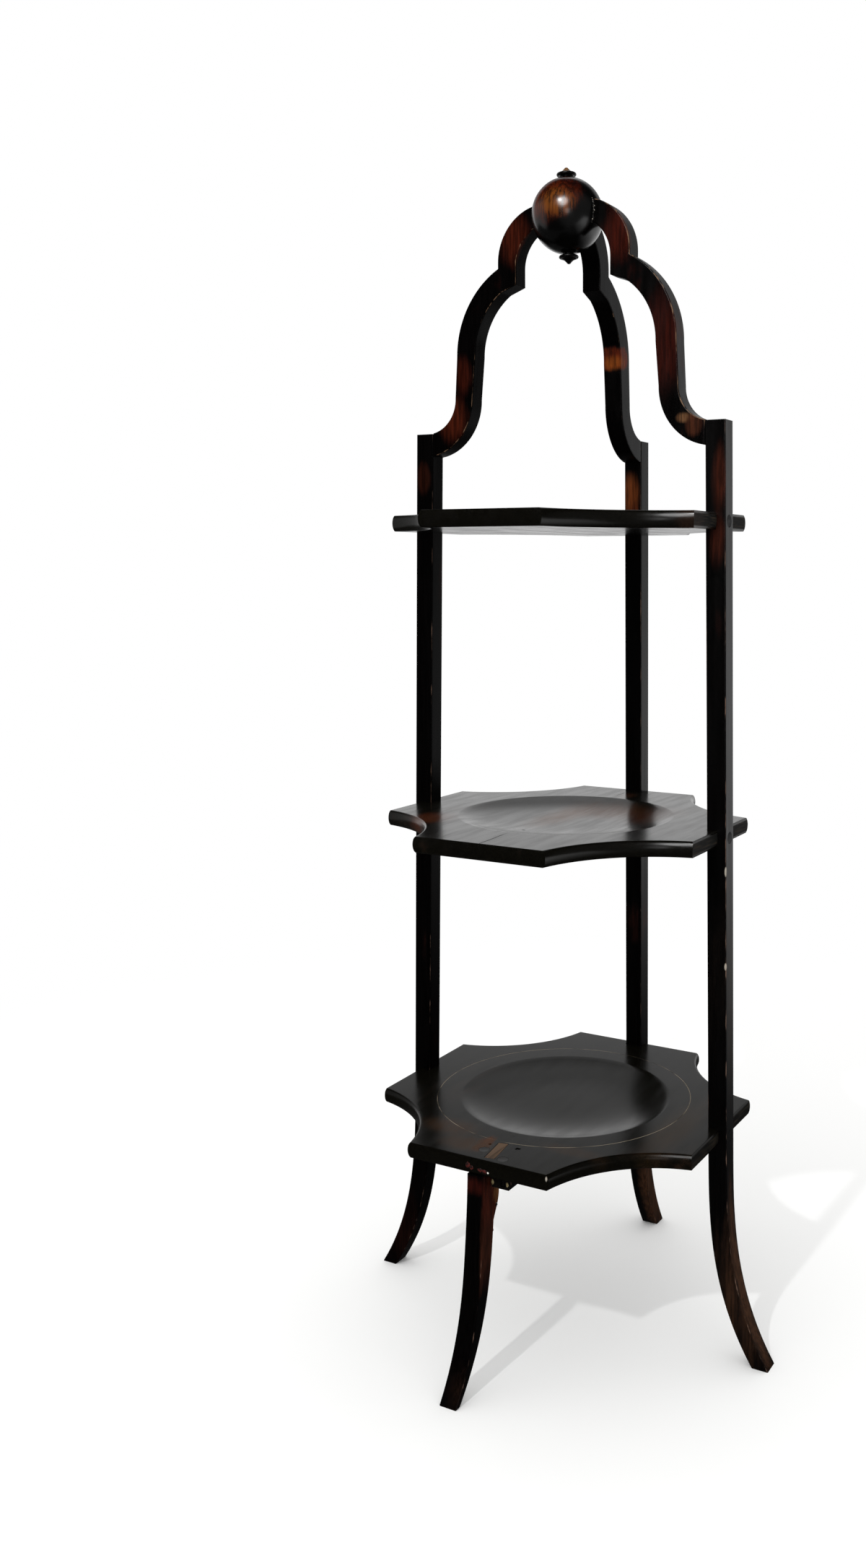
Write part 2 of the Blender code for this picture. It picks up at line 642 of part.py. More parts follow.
def make_front(axis, shelf):
    """The front leg with its glue block, its two screws and the repair over it."""
    leg = make_front_leg(axis)
    block = make_glue_block(axis)
    make_repair_strip(axis, shelf)
    make_top_screw("front_leg_screw", axis, LEG_SCREW_INSET, LEG_SCREW_SHIFT, LEG_SCREW_LENGTH, (shelf, leg))
    block_inset = BLOCK_SCREW_INSET - HEEL_DEPTH
    make_top_screw("glue_block_screw", axis, block_inset, BLOCK_SCREW_SHIFT, BLOCK_SCREW_LENGTH, (shelf, block))


def build_stand():
    """Build the whole stand round its axis, which is set so that the footprint is centred."""
    axis = make_empty("stand_axis", location=(0, (FRONT_TOE_SPREAD - TOE_SPREAD) / 2, 0))
    shelves = make_shelves(axis)
    ball_axis, ball, cope = make_ball(axis)
    make_buttons(ball_axis, ball)
    for side, quarters in SIDE_TURNS.items():
        side_axis = make_empty(f"{side}_side", axis, QUARTER_TURN * quarters)
        make_side(side, side_axis, shelves, ball, cope)
    front_axis = make_empty("front_side", axis, -QUARTER_TURN)
    make_front(front_axis, shelves["bottom"])


for leftover in list(bpy.data.objects):
    bpy.data.objects.remove(leftover)
build_stand()
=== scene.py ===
"""A tiered stand of ebonised wood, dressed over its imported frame.

The frame gives every piece its true size and place. Each class below makes the finer surface of
one group of pieces and its finish, and the last one the plain studio that the stand is shown in.
"""
import logging
import math
from dataclasses import dataclass
from enum import Enum
from itertools import product

import bmesh
import bpy
from mathutils import Matrix, Vector, noise


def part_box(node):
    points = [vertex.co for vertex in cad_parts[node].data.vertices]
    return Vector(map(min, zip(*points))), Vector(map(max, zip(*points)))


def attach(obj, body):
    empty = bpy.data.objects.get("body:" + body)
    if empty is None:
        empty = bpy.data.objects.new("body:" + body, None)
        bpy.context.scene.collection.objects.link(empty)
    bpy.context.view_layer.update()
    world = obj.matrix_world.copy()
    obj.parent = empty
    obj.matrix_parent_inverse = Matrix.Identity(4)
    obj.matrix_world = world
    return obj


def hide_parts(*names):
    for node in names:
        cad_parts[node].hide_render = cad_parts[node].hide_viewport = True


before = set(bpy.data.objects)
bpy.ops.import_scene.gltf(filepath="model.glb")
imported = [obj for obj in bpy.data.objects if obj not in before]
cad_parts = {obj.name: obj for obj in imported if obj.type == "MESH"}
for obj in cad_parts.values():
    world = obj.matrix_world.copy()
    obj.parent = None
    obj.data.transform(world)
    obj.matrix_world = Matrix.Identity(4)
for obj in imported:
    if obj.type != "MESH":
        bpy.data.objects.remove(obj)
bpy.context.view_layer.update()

log = logging.getLogger("stand")

MM = 0.001
ROOT = "root"
QUARTER = math.pi / 2
GAP = 0.3 * MM  # a glue line, or the clearance between two pieces
ARRIS = 0.9 * MM  # radius of a rounded arris
ARRIS_REACH = 2.6 * MM  # how far from an arris the wood is worn
OVERCUT = 4.0 * MM  # how far a cutter stands out of what it cuts
MERGED = 0.01 * MM  # points nearer to each other than this are one
CRISP = math.radians(38)  # an edge that turns by more than this isn't smoothed
ARC_STEPS = 26
SOFT = {"interpolation_type": "SMOOTHSTEP"}
COLOURS = {"data_type": "RGBA"}

Point = tuple[float, float]
Place = tuple[float, float, float]
Tree = bpy.types.NodeTree
Socket = bpy.types.NodeSocket
Outputs = bpy.types.NodeOutputs
Material = bpy.types.Material
Piece = bpy.types.Object
Shape = bmesh.types.BMesh
Vert = bmesh.types.BMVert
Layer = bmesh.types.BMLayerItem


class Side(Enum):
    """The four sides of the stand, as quarter turns from the right."""

    RIGHT = 0
    BACK = 1
    LEFT = 2
    FRONT = 3

    @property
    def label(self) -> str:
        """The side's name as the frame writes it."""
        return self.name.lower()

    @property
    def turn(self) -> Matrix:
        """The turn round Z from the right to this side."""
        return Matrix.Rotation(QUARTER * self.value, 4, "Z")


POSTS = (Side.RIGHT, Side.BACK, Side.LEFT)  # the sides that have an upright


class Tier(Enum):
    """The three shelves, from the floor up."""

    BOTTOM = "bottom"
    MIDDLE = "middle"
    TOP = "top"


class Grain(Enum):
    """The way the wood's fibres run: nought for the axis that they follow."""

    ALONG_X = (0, 1, 1)
    ALONG_Y = (1, 0, 1)
    ALONG_Z = (1, 1, 0)


@dataclass(frozen=True)
class Spot:
    """A round place on the surface where the finish differs, in the frame's metres."""

    centre: Place
    reach: float
    colour: str
    strength: float = 1.0
    stretch: Place = (1.0, 1.0, 1.0)
    edge: float = 0.35


@dataclass(frozen=True)
class Plan:
    """The sizes that the pieces share, with the main ones read from the frame."""

    axis_y: float
    toe_spread: float
    post_top: float
    shelf_middle: dict[Tier, float]
    ball_centre: Vector
    front_toe_spread: float
    front_leg_top: float
    ball_radius: float = 27.9 * MM
    post_width: float = 16.0 * MM
    post_breadth: float = 15.8 * MM
    spread_floor: float = 139.0 * MM
    spread_top: float = 121.3 * MM
    shelf_thickness: float = 12.7 * MM
    shelf_lap: float = 9.2 * MM
    arch_rise: float = 0.6 * MM
    arch_depth: float = 18.6 * MM

    @classmethod
    def measured(cls) -> "Plan":
        """Read the shared sizes from the boxes of the frame's nodes.

        Returns:
            The plan of the stand as it was packed.
        """
        low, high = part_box("right_upright")
        axis_y = (low.y + high.y) / 2
        ball_low, ball_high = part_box("ball")
        leg_low, leg_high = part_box("front_leg")
        middles = {}
        for tier in Tier:
            shelf_low, shelf_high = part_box(f"{tier.value}_shelf")
            middles[tier] = (shelf_low.z + shelf_high.z) / 2
        centre = (ball_low + ball_high) / 2
        return cls(axis_y=axis_y, toe_spread=high.x, post_top=high.z, shelf_middle=middles,
                   ball_centre=Vector((centre.x, axis_y, centre.z)), front_toe_spread=axis_y - leg_low.y,
                   front_leg_top=leg_high.z)

    @property
    def splay(self) -> float:
        """How much nearer the axis a post stands for each metre of height."""
        return (self.spread_floor - self.spread_top) / self.post_top

    @property
    def head_line(self) -> float:
        """Height of an arch's outside at the post."""
        return self.post_top + self.arch_rise

    @property
    def head_joint(self) -> float:
        """Height of the dowel between a post's head and its arch."""
        return self.head_line - self.arch_depth / 2

    def inner(self, height: float) -> float:
        """Distance from the axis to a post's inner face."""
        return self.spread_floor - self.splay * height

    def outer(self, height: float) -> float:
        """Distance from the axis to a post's outer face."""
        return self.inner(height) + self.post_width

    def shelf_half(self, tier: Tier) -> float:
        """Half the width of a shelf across its straight edges."""
        return self.inner(self.shelf_middle[tier]) + self.shelf_lap

    def shelf_top(self, tier: Tier) -> float:
        """Height of a shelf's upper face."""
        return self.shelf_middle[tier] + self.shelf_thickness / 2

    def mark(self, x: float, y: float, z: float) -> Place:
        """A place on the stand, from millimetres off its axis to the frame's metres."""
        return (x * MM, y * MM + self.axis_y, z * MM)

    def spots(self, *rows: tuple) -> tuple[Spot, ...]:
        """Spots from rows: a place off the axis and a reach in millimetres, then a spot's other fields."""
        return tuple(Spot(self.mark(*place), reach * MM, *rest) for place, reach, *rest in rows)

    def placed(self, side: Side = Side.RIGHT) -> Matrix:
        """The move that takes a piece made on the axis, facing +X, to its side of the stand."""
        return Matrix.Translation((0, self.axis_y, 0)) @ side.turn


# Finishes


def linear(colour: str) -> tuple[float, float, float, float]:
    """Turn an sRGB hex colour into the linear values that a shader takes.

    Args:
        colour: A hash and six hex digits.

    Returns:
        Linear red, green and blue with an alpha of one.
    """
    digits = colour.lstrip("#")
    values = [int(digits[start:start + 2], 16) / 255 for start in (0, 2, 4)]
    lit = [value / 12.92 if value <= 0.04045 else ((value + 0.055) / 1.055) ** 2.4 for value in values]
    return (*lit, 1.0)


def feed(tree: Tree, node: bpy.types.Node, inputs: dict) -> None:
    """Feed a node's inputs, each with a link from an output or with a constant set on it.

    Args:
        tree: The tree that the node is in.
        node: The node.
        inputs: Values or output sockets, by input name or number.
    """
    for name, value in inputs.items():
        if isinstance(value, Socket):
            tree.links.new(value, node.inputs[name])
        else:
            node.inputs[name].default_value = value


def add_node(tree: Tree, kind: str, inputs: dict | None = None, **settings: object) -> Outputs:
    """Add one node, with its settings and what feeds each of its inputs.

    Args:
        tree: The node tree that it goes into.
        kind: The node's type name.
        inputs: Values or output sockets, by input name or number.
        settings: Attributes of the node.

    Returns:
        The new node's outputs.
    """
    node = tree.nodes.new(kind)
    for name, value in settings.items():
        setattr(node, name, value)
    feed(tree, node, inputs or {})
    return node.outputs


class Coat:
    """A finish in work: its material, where on the piece the surface is, and the colour laid so far."""

    def __init__(self, name: str, ground: str) -> None:
        """Open a material.

        Args:
            name: What the finish is.
            ground: The colour that the others are laid on.
        """
        self.material = bpy.data.materials.new(name)
        self.material.use_nodes = True
        self.tree = self.material.node_tree
        self.shader = self.tree.nodes["Principled BSDF"]
        self.place = add_node(self.tree, "ShaderNodeTexCoord")["Object"]
        self.tone = linear(ground)

    def lay(self, mask: Socket, colour: str) -> None:
        """Lay a colour over the tone where a mask lets it show."""
        tones = {0: mask, 6: self.tone, 7: linear(colour)}
        self.tone = add_node(self.tree, "ShaderNodeMix", tones, **COLOURS)[2]

    def done(self, inputs: dict) -> Material:
        """Feed the shader with the tone and its other inputs, and give the material back."""
        feed(self.tree, self.shader, {"Base Color": self.tone, **inputs})
        return self.material


@dataclass(frozen=True)
class EbonisedWood:
    """Hardwood stained black and polished: the black is deepest in the pores, reddish brown shows
    where hands have rubbed it, and the arrises are worn to paler wood."""

    name: str
    stain: str = "#030202"
    rubbed: str = "#2c0e06"
    worn: str = "#84695a"
    sawn: str = "#3b3226"
    scratched: str = "#a89c88"
    roughness: float = 0.3
    sawn_roughness: float = 0.8
    rub: float = 0.35
    wear: float = 0.5
    grain: Grain = Grain.ALONG_Z
    grain_width: float = 1.1 * MM
    grain_shown: float = 0.55
    figure_width: float = 5.0 * MM
    figure_stretch: float = 16.0
    fray_width: float = 2.2 * MM
    chip_width: float = 2.4 * MM
    skip_width: float = 14.0 * MM
    patch_size: float = 34.0 * MM
    pore_depth: float = 0.05 * MM
    dimple: float = 9.0 * MM
    dimple_share: float = 0.3
    gloss: float = 0.15
    gloss_lost: float = 0.5
    spots: tuple[Spot, ...] = ()
    ring: tuple[float, float, float, float] | None = None
    raw_edges: bool = False
    seed: float = 0.0

    def material(self) -> Material:
        """Build the finish.

        Returns:
            The material, with its colour, roughness, gloss and bump from nodes.
        """
        coat = Coat(self.name, self.stain)
        tree = coat.tree
        pores = self.pattern(coat, self.grain_width, 14, 3.0)
        figure = self.pattern(coat, self.figure_width, self.figure_stretch, 3.0)
        patches = self.pattern(coat, self.patch_size, 1.6, 3.0)
        field = add_node(tree, "ShaderNodeMix", {0: 0.35, 2: patches, 3: figure})[0]
        low = 0.66 - 0.4 * self.rub
        coat.lay(add_node(tree, "ShaderNodeMapRange", {0: field, 1: low, 2: low + 0.18}, **SOFT)[0], self.rubbed)
        fray = self.pattern(coat, self.fray_width, 4, 4.0)
        ragged = add_node(tree, "ShaderNodeMix", {0: 0.5, 2: figure, 3: fray})[0]
        for spot in self.spots:
            self.lay_spot(coat, spot, ragged)
        streak = add_node(tree, "ShaderNodeMapRange", {0: pores, 1: 0.36, 2: 0.62, 3: 1.0 - self.grain_shown},
                          **SOFT)[0]
        coat.tone = add_node(tree, "ShaderNodeMix", {0: 1.0, 6: coat.tone, 7: streak}, blend_type="MULTIPLY",
                             **COLOURS)[2]
        self.lay_arrises(coat)
        if self.ring is not None:
            self.lay_ring(coat)
        rough = add_node(tree, "ShaderNodeMapRange", {0: figure, 1: 0.3, 2: 0.7, 3: self.roughness * 0.86,
                                                      4: self.roughness * 1.18}, **SOFT)[0]
        if self.raw_edges:
            rough = self.lay_raw_edges(coat, rough)
        paleness = add_node(tree, "ShaderNodeRGBToBW", {0: coat.tone})[0]
        shine = add_node(tree, "ShaderNodeMapRange", {0: paleness, 1: 0.003, 2: 0.025, 3: self.gloss,
                                                      4: self.gloss * (1 - self.gloss_lost)}, **SOFT)[0]
        dimples = self.pattern(coat, self.dimple, 1.5, 2.0)
        relief = add_node(tree, "ShaderNodeMix", {0: self.dimple_share, 2: pores, 3: dimples})[0]
        bump = add_node(tree, "ShaderNodeBump", {"Height": relief, "Distance": self.pore_depth, "Strength": 0.5})[0]
        # The socket keeps the black's own gloss under the link, for where a linked one is dropped.
        feed(tree, coat.shader, {"Specular IOR Level": self.gloss})
        return coat.done({"Roughness": rough, "Specular IOR Level": shine, "Normal": bump})

    def pattern(self, coat: Coat, width: float, stretch: float, detail: float) -> Socket:
        """Noise drawn out along the grain.

        Args:
            coat: The finish in work.
            width: Size of a feature across the grain, in metres.
            stretch: How many times longer it is along the grain.
            detail: Octaves of the noise.

        Returns:
            The noise, about 0.5 on average.
        """
        scale = [(1.0 if part else 1.0 / stretch) / width for part in self.grain.value]
        shift = (self.seed, self.seed * 1.7, self.seed * 0.6)
        drawn = add_node(coat.tree, "ShaderNodeMapping", {"Vector": coat.place, "Scale": scale, "Location": shift})
        return add_node(coat.tree, "ShaderNodeTexNoise", {"Vector": drawn[0], "Scale": 0.6, "Detail": detail,
                                                          "Roughness": 0.55})[0]

    def lay_spot(self, coat: Coat, spot: Spot, ragged: Socket) -> None:
        """Lay one spot over the colour, with a ragged border.

        Args:
            coat: The finish in work.
            spot: The spot.
            ragged: Noise that frays its border.
        """
        tree = coat.tree
        away = add_node(tree, "ShaderNodeVectorMath", {0: coat.place, 1: spot.centre}, operation="SUBTRACT")[0]
        shaped = add_node(tree, "ShaderNodeVectorMath", {0: away, 1: spot.stretch}, operation="DIVIDE")[0]
        reach = add_node(tree, "ShaderNodeVectorMath", {0: shaped}, operation="LENGTH")[1]
        share = add_node(tree, "ShaderNodeMath", {0: reach, 1: spot.reach}, operation="DIVIDE")[0]
        frayed = add_node(tree, "ShaderNodeMath", {0: ragged, 1: 0.9, 2: share}, operation="MULTIPLY_ADD")[0]
        mask = add_node(tree, "ShaderNodeMapRange", {0: frayed, 1: 1.45 - spot.edge, 2: 1.45 + spot.edge,
                                                     3: spot.strength, 4: 0.0}, **SOFT)[0]
        coat.lay(mask, spot.colour)

    def lay_arrises(self, coat: Coat) -> None:
        """Lay a broken pale line where the wood turns a worn corner.

        Args:
            coat: The finish in work.
        """
        arris = add_node(coat.tree, "ShaderNodeAttribute", attribute_name="arris")["Fac"]
        broken = self.pattern(coat, self.chip_width, 5, 4.0)
        field = add_node(coat.tree, "ShaderNodeMath", {0: broken, 1: 1.1, 2: arris}, operation="MULTIPLY_ADD")[0]
        low = 1.58 - 0.34 * self.wear
        mask = add_node(coat.tree, "ShaderNodeMapRange", {0: field, 1: low, 2: low + 0.2, 3: 0.0,
                                                          4: min(1.0, 0.3 + self.wear)}, **SOFT)[0]
        coat.lay(mask, self.worn)

    def lay_raw_edges(self, coat: Coat, rough: Socket) -> Socket:
        """Roughen a shelf's left and right edges, where sawn fibres show through little polish.

        Args:
            coat: The finish in work.
            rough: The roughness so far.

        Returns:
            The roughness with the edges in it.
        """
        tree = coat.tree
        facing = add_node(tree, "ShaderNodeNewGeometry")["Normal"]
        aside = add_node(tree, "ShaderNodeSeparateXYZ", {0: facing})["X"]
        either = add_node(tree, "ShaderNodeMath", {0: aside}, operation="ABSOLUTE")[0]
        edge = add_node(tree, "ShaderNodeMapRange", {0: either, 1: 0.98, 2: 0.995}, **SOFT)[0]
        drawn = add_node(tree, "ShaderNodeMapping", {"Vector": coat.place, "Scale": (60, 60, 1300)})[0]
        fibres = add_node(tree, "ShaderNodeTexNoise", {"Vector": drawn, "Scale": 1.0, "Detail": 2.0})[0]
        shown = add_node(tree, "ShaderNodeMapRange", {0: fibres, 1: 0.5, 2: 0.68, 3: 0.0, 4: 0.6}, **SOFT)[0]
        coat.lay(add_node(tree, "ShaderNodeMath", {0: shown, 1: edge}, operation="MULTIPLY")[0], self.sawn)
        return add_node(tree, "ShaderNodeMix", {0: edge, 2: rough, 3: self.sawn_roughness})[0]

    def lay_ring(self, coat: Coat) -> None:
        """Lay a scribed ring over the colour: a fine pale line, rubbed away in places.

        Args:
            coat: The finish in work.
        """
        tree = coat.tree
        x, y, radius, width = self.ring
        flat = add_node(tree, "ShaderNodeVectorMath", {0: coat.place, 1: (1, 1, 0)}, operation="MULTIPLY")[0]
        reach = add_node(tree, "ShaderNodeVectorMath", {0: flat, 1: (x, y, 0)}, operation="DISTANCE")[1]
        off = add_node(tree, "ShaderNodeMath", {0: reach, 1: radius}, operation="SUBTRACT")[0]
        off = add_node(tree, "ShaderNodeMath", {0: off}, operation="ABSOLUTE")[0]
        line = add_node(tree, "ShaderNodeMapRange", {0: off, 1: width * 0.35, 2: width, 3: 1.0, 4: 0.0}, **SOFT)[0]
        skips = self.pattern(coat, self.skip_width, 1.0, 2.0)
        broken = add_node(tree, "ShaderNodeMapRange", {0: skips, 1: 0.34, 2: 0.56, 3: 0.1, 4: 0.75}, **SOFT)[0]
        coat.lay(add_node(tree, "ShaderNodeMath", {0: line, 1: broken}, operation="MULTIPLY")[0], self.scratched)


@dataclass(frozen=True)
class Mottled:
    """A stuff of two tones, the second in flecks or clouds: bare rod, dulled metal, glue, putty or wax."""

    name: str
    body: str
    fleck: str
    fleck_size: float = 0.8 * MM
    share: float = 0.3
    roughness: float = 0.5
    dulled: float = 0.0
    detail: float = 4.0
    fleck_edge: float = 0.08
    metallic: float = 0.0
    specular: float = 0.2
    lump_height: float = 0.15 * MM

    def material(self) -> Material:
        """Build the finish.

        Returns:
            The material, lumpy and with a changing roughness only where its fields ask for that.
        """
        coat = Coat(self.name, self.body)
        flecks = add_node(coat.tree, "ShaderNodeTexNoise", {"Vector": coat.place, "Scale": 0.6 / self.fleck_size,
                                                            "Detail": self.detail})[0]
        low = 0.66 - 0.4 * self.share
        mask = add_node(coat.tree, "ShaderNodeMapRange", {0: flecks, 1: low, 2: low + self.fleck_edge})[0]
        coat.lay(mask, self.fleck)
        inputs = {"Roughness": self.roughness, "Metallic": self.metallic, "Specular IOR Level": self.specular}
        if self.dulled:
            range_of = {0: flecks, 3: self.roughness, 4: self.roughness + self.dulled}
            inputs["Roughness"] = add_node(coat.tree, "ShaderNodeMapRange", range_of)[0]
        if self.lump_height:
            lumps = {"Height": flecks, "Distance": self.lump_height, "Strength": 0.6}
            inputs["Normal"] = add_node(coat.tree, "ShaderNodeBump", lumps)[0]
        return coat.done(inputs)


# Unfinished beech dowel rod: pale pinkish brown with short darker flecks.
BEECH = Mottled("Bare beech", "#c99d6b", "#9a6f45", MM * 2 / 3, 0.525, 0.7, detail=3.0, fleck_edge=0.2,
                specular=0.5, lump_height=0.0)
# Old steel wood screws: grey, dulled by handling, with darker tarnish.
STEEL = Mottled("Dulled steel", "#9a968f", "#5b544c", MM * 10 / 7, 0.6, 0.3, dulled=0.3, detail=5.0,
                fleck_edge=0.2, metallic=1.0, specular=0.5, lump_height=0.0)
# Hide glue squeezed out of a joint: nearly black beads with pale crazed flecks.
GLUE = Mottled("Dried hide glue", "#080605", "#a8a094", share=0.26, roughness=0.35)
# Putty laid on by hand: dull dark red, blotched brighter.
PUTTY = Mottled("Red putty", "#180503", "#450f08", 1.4 * MM, 0.45, 0.6)
# Filler over two old nail holes: a chalky tan that stands out from the black.
FILLER = Mottled("Tan wood filler", "#5d5138", "#7c7050", 1.2 * MM, 0.5, 0.8)
# Wax pressed in over the screws: black, a little shinier than the board round it.
STOPPING = Mottled("Black wax stopping", "#070605", "#140f0b", 1.6 * MM, 0.4, 0.32)


# Making and settling pieces


def linked(name: str, data: bpy.types.ID) -> Piece:
    """Make an object and link it to the scene.

    Args:
        name: Name of the object.
        data: Its mesh, lamp or camera.

    Returns:
        The object.
    """
    piece = bpy.data.objects.new(name, data)
    bpy.context.scene.collection.objects.link(piece)
    return piece


def piece_from(name: str, shape: Shape, matrix: Matrix | None = None) -> Piece:
    """Make an object from a mesh in work, with its place in the mesh.

    Args:
        name: Name of the piece.
        shape: The mesh; it is freed.
        matrix: Where the piece goes.

    Returns:
        The linked object.
    """
    data = bpy.data.meshes.new(name)
    shape.to_mesh(data)
    shape.free()
    if matrix is not None:
        data.transform(matrix)
    return linked(name, data)


def baked(piece: Piece) -> Piece:
    """Turn the piece's modifiers into its plain mesh.

    Args:
        piece: The object whose modifiers are done.

    Returns:
        The same object, with no modifiers.
    """
    bpy.context.view_layer.update()
    graph = bpy.context.evaluated_depsgraph_get()
    data = bpy.data.meshes.new_from_object(piece.evaluated_get(graph), preserve_all_data_layers=True,
                                           depsgraph=graph)
    data.name = piece.name
    piece.modifiers.clear()
    piece.data = data
    return piece


def carved(piece: Piece, *cutters: Piece) -> Piece:
    """Cut the cutters out of a piece and throw them away.

    Args:
        piece: The piece that is cut.
        cutters: Closed shapes to take out of it.

    Returns:
        The piece, cut.
    """
    for cutter in cutters:
        boolean = piece.modifiers.new("cut", "BOOLEAN")
        boolean.operation = "DIFFERENCE"
        boolean.solver = "EXACT"
        boolean.object = cutter
    baked(piece)
    for cutter in cutters:
        bpy.data.objects.remove(cutter)
    return piece


def settled(piece: Piece, material: Material, slot: str, *nodes: str) -> None:
    """Finish a piece: even shading, its material, its body, and the nodes that it stands for.

    Args:
        piece: The piece, at the origin.
        material: Its finish.
        slot: The record's material slot; not used.
        nodes: The frame's nodes that it replaces.
    """
    piece.data.shade_smooth()
    piece.data.set_sharp_from_angle(angle=CRISP)
    weighted = piece.modifiers.new("even", "WEIGHTED_NORMAL")
    weighted.keep_sharp = True
    baked(piece)
    piece.data.materials.clear()
    piece.data.materials.append(material)
    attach(piece, ROOT)
    if nodes:
        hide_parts(*nodes)
    log.info("%s: %d vertices", piece.name, len(piece.data.vertices))


def open_tree(name: str, inputs: dict[str, str]) -> Tree:
    """Open a geometry node tree.

    Args:
        name: Name of the tree.
        inputs: What type of value each named input takes.

    Returns:
        The tree, with its inputs and one output of geometry.
    """
    tree = bpy.data.node_groups.new(name, "GeometryNodeTree")
    for label, kind in inputs.items():
        tree.interface.new_socket(label, in_out="INPUT", socket_type=f"NodeSocket{kind}")
    tree.interface.new_socket("Geometry", in_out="OUTPUT", socket_type="NodeSocketGeometry")
    return tree


def close_tree(tree: Tree, geometry: Socket, finish: Socket) -> None:
    """End a geometry node tree in real meshes, dressed.

    Args:
        tree: The tree.
        geometry: What it has made.
        finish: The material for it.
    """
    real = add_node(tree, "GeometryNodeRealizeInstances", {0: geometry})[0]
    dressed = add_node(tree, "GeometryNodeSetMaterial", {"Geometry": real, "Material": finish})[0]
    add_node(tree, "NodeGroupOutput", {0: dressed})


def grown(piece: Piece, tree: Tree, values: dict[str, object]) -> Piece:
    """Run a geometry node tree on a piece and keep what it makes as a plain mesh.

    Args:
        piece: The piece that it starts from.
        tree: The tree.
        values: The value of each named input.

    Returns:
        The same piece.
    """
    modifier = piece.modifiers.new(tree.name, "NODES")
    modifier.node_group = tree
    for item in tree.interface.items_tree:
        if item.in_out == "INPUT" and item.name in values:
            modifier[item.identifier] = values[item.name]
    return baked(piece)


def arc(centre_x: float, centre_z: float, radius: float, start: float, end: float,
        steps: int = ARC_STEPS) -> list[Point]:
    """Points of a circular arc between two angles in radians, both ends among them."""
    turns = [start + (end - start) * step / steps for step in range(steps + 1)]
    return [(centre_x + radius * math.cos(turn), centre_z + radius * math.sin(turn)) for turn in turns]


def inset_outline(outline: list[Point], distance: float) -> list[Point]:
    """Draw a closed outline inwards by a distance, with mitred corners.

    Args:
        outline: Points in order, either way round.
        distance: How far in, in metres.

    Returns:
        As many points as before.
    """
    count = len(outline)
    area = sum(outline[i][0] * outline[(i + 1) % count][1] - outline[(i + 1) % count][0] * outline[i][1]
               for i in range(count))
    inward = 1.0 if area > 0 else -1.0
    points = [Vector(point) for point in outline]
    moved = []
    corners = []
    for i, point in enumerate(points):
        before = (point - points[i - 1]).normalized()
        after = (points[(i + 1) % count] - point).normalized()
        first = Vector((-before.y, before.x)) * inward
        second = Vector((-after.y, after.x)) * inward
        mitre = (first + second) / max(1.0 + first.dot(second), 0.35)
        moved.append(point + mitre * distance)
        if before.dot(after) < 0.94 and first.dot(after) > 0:
            corners.append(i)
    for corner in corners:
        gather_at(corner, points, moved)
    return [tuple(point) for point in moved]


def gather_at(corner: int, points: list[Vector], moved: list[Vector]) -> None:
    """Draw to a mitred corner the points beside it that the inset has carried past it.

    Args:
        corner: Number of the corner's point.
        points: The outline as it was.
        moved: The inset outline, changed in place.
    """
    count = len(points)
    for way in (-1, 1):
        for away in range(1, 8):
            beside = (corner + way * away) % count
            if (moved[beside] - moved[corner]).dot(points[beside] - points[corner]) > 0:
                break
            moved[beside] = moved[corner].copy()


def add_ring(shape: Shape, layer: Layer, places: list[Place], worn: float,
             wear: list[float] | None = None) -> list[Vert]:
    """Add a ring of points, and keep how worn each is for the finish to read.

    Args:
        shape: The mesh in work.
        layer: The attribute that keeps the wear.
        places: Where the points are.
        worn: How worn the ring is.
        wear: The share of that at each point, one where it is left out.

    Returns:
        The points.
    """
    ring = [shape.verts.new(place) for place in places]
    for i, vert in enumerate(ring):
        vert[layer] = worn * (wear[i] if wear else 1.0)
    return ring


def skinned(shape: Shape, rings: list[list[Vert]], hub: Vert | None = None, merged: bool = False) -> Shape:
    """Close a solid over rings of as many points each.

    Args:
        shape: The mesh in work.
        rings: The rings in order; a cap closes the first.
        hub: The point that the last is fanned to, where a cap doesn't close it.
        merged: Whether points that fall together become one.

    Returns:
        The mesh, with its faces outwards.
    """
    for low, high in zip(rings, rings[1:]):
        for i in range(len(low)):
            after = (i + 1) % len(low)
            shape.faces.new([low[i], low[after], high[after], high[i]])
    shape.faces.new(rings[0][::-1])
    last = rings[-1]
    if hub is None:
        shape.faces.new(last)
    else:
        for i in range(len(last)):
            shape.faces.new([last[i], last[(i + 1) % len(last)], hub])
    if merged:
        bmesh.ops.remove_doubles(shape, verts=shape.verts, dist=MERGED)
    bmesh.ops.recalc_face_normals(shape, faces=shape.faces)
    return shape


def board(outline: list[Point], breadth: float, arris: float = ARRIS, reach: float = ARRIS_REACH,
          wear: list[float] | None = None) -> Shape:
    """A board from its outline in X and Z, its breadth centred on Y and its long arrises rounded.

    Args:
        outline: Points in order.
        breadth: Size across Y.
        arris: Radius of the arrises.
        reach: How far from an arris the wood is worn.
        wear: How worn the arris is at each point of the outline, one where it is left out.

    Returns:
        The board as a mesh in work.
    """
    half = breadth / 2
    near = [(reach, half, 0.0), (reach * 0.6, half, 0.35)]
    turns = [QUARTER * step / 4 for step in range(5)]
    near += [(arris * (1 - math.sin(turn)), half - arris * (1 - math.cos(turn)), 0.7 + 0.3 * math.sin(2 * turn))
             for turn in turns]
    near += [(0.0, half - reach * 0.6, 0.35), (0.0, half - reach, 0.0)]
    loops = [(inset, -across, worn) for inset, across, worn in near] + near[::-1]
    shape = bmesh.new()
    layer = shape.verts.layers.float.new("arris")
    rings = []
    for inset, across, worn in loops:
        places = [(x, across, z) for x, z in inset_outline(outline, inset)]
        rings.append(add_ring(shape, layer, places, worn, wear))
    return skinned(shape, rings, merged=True)


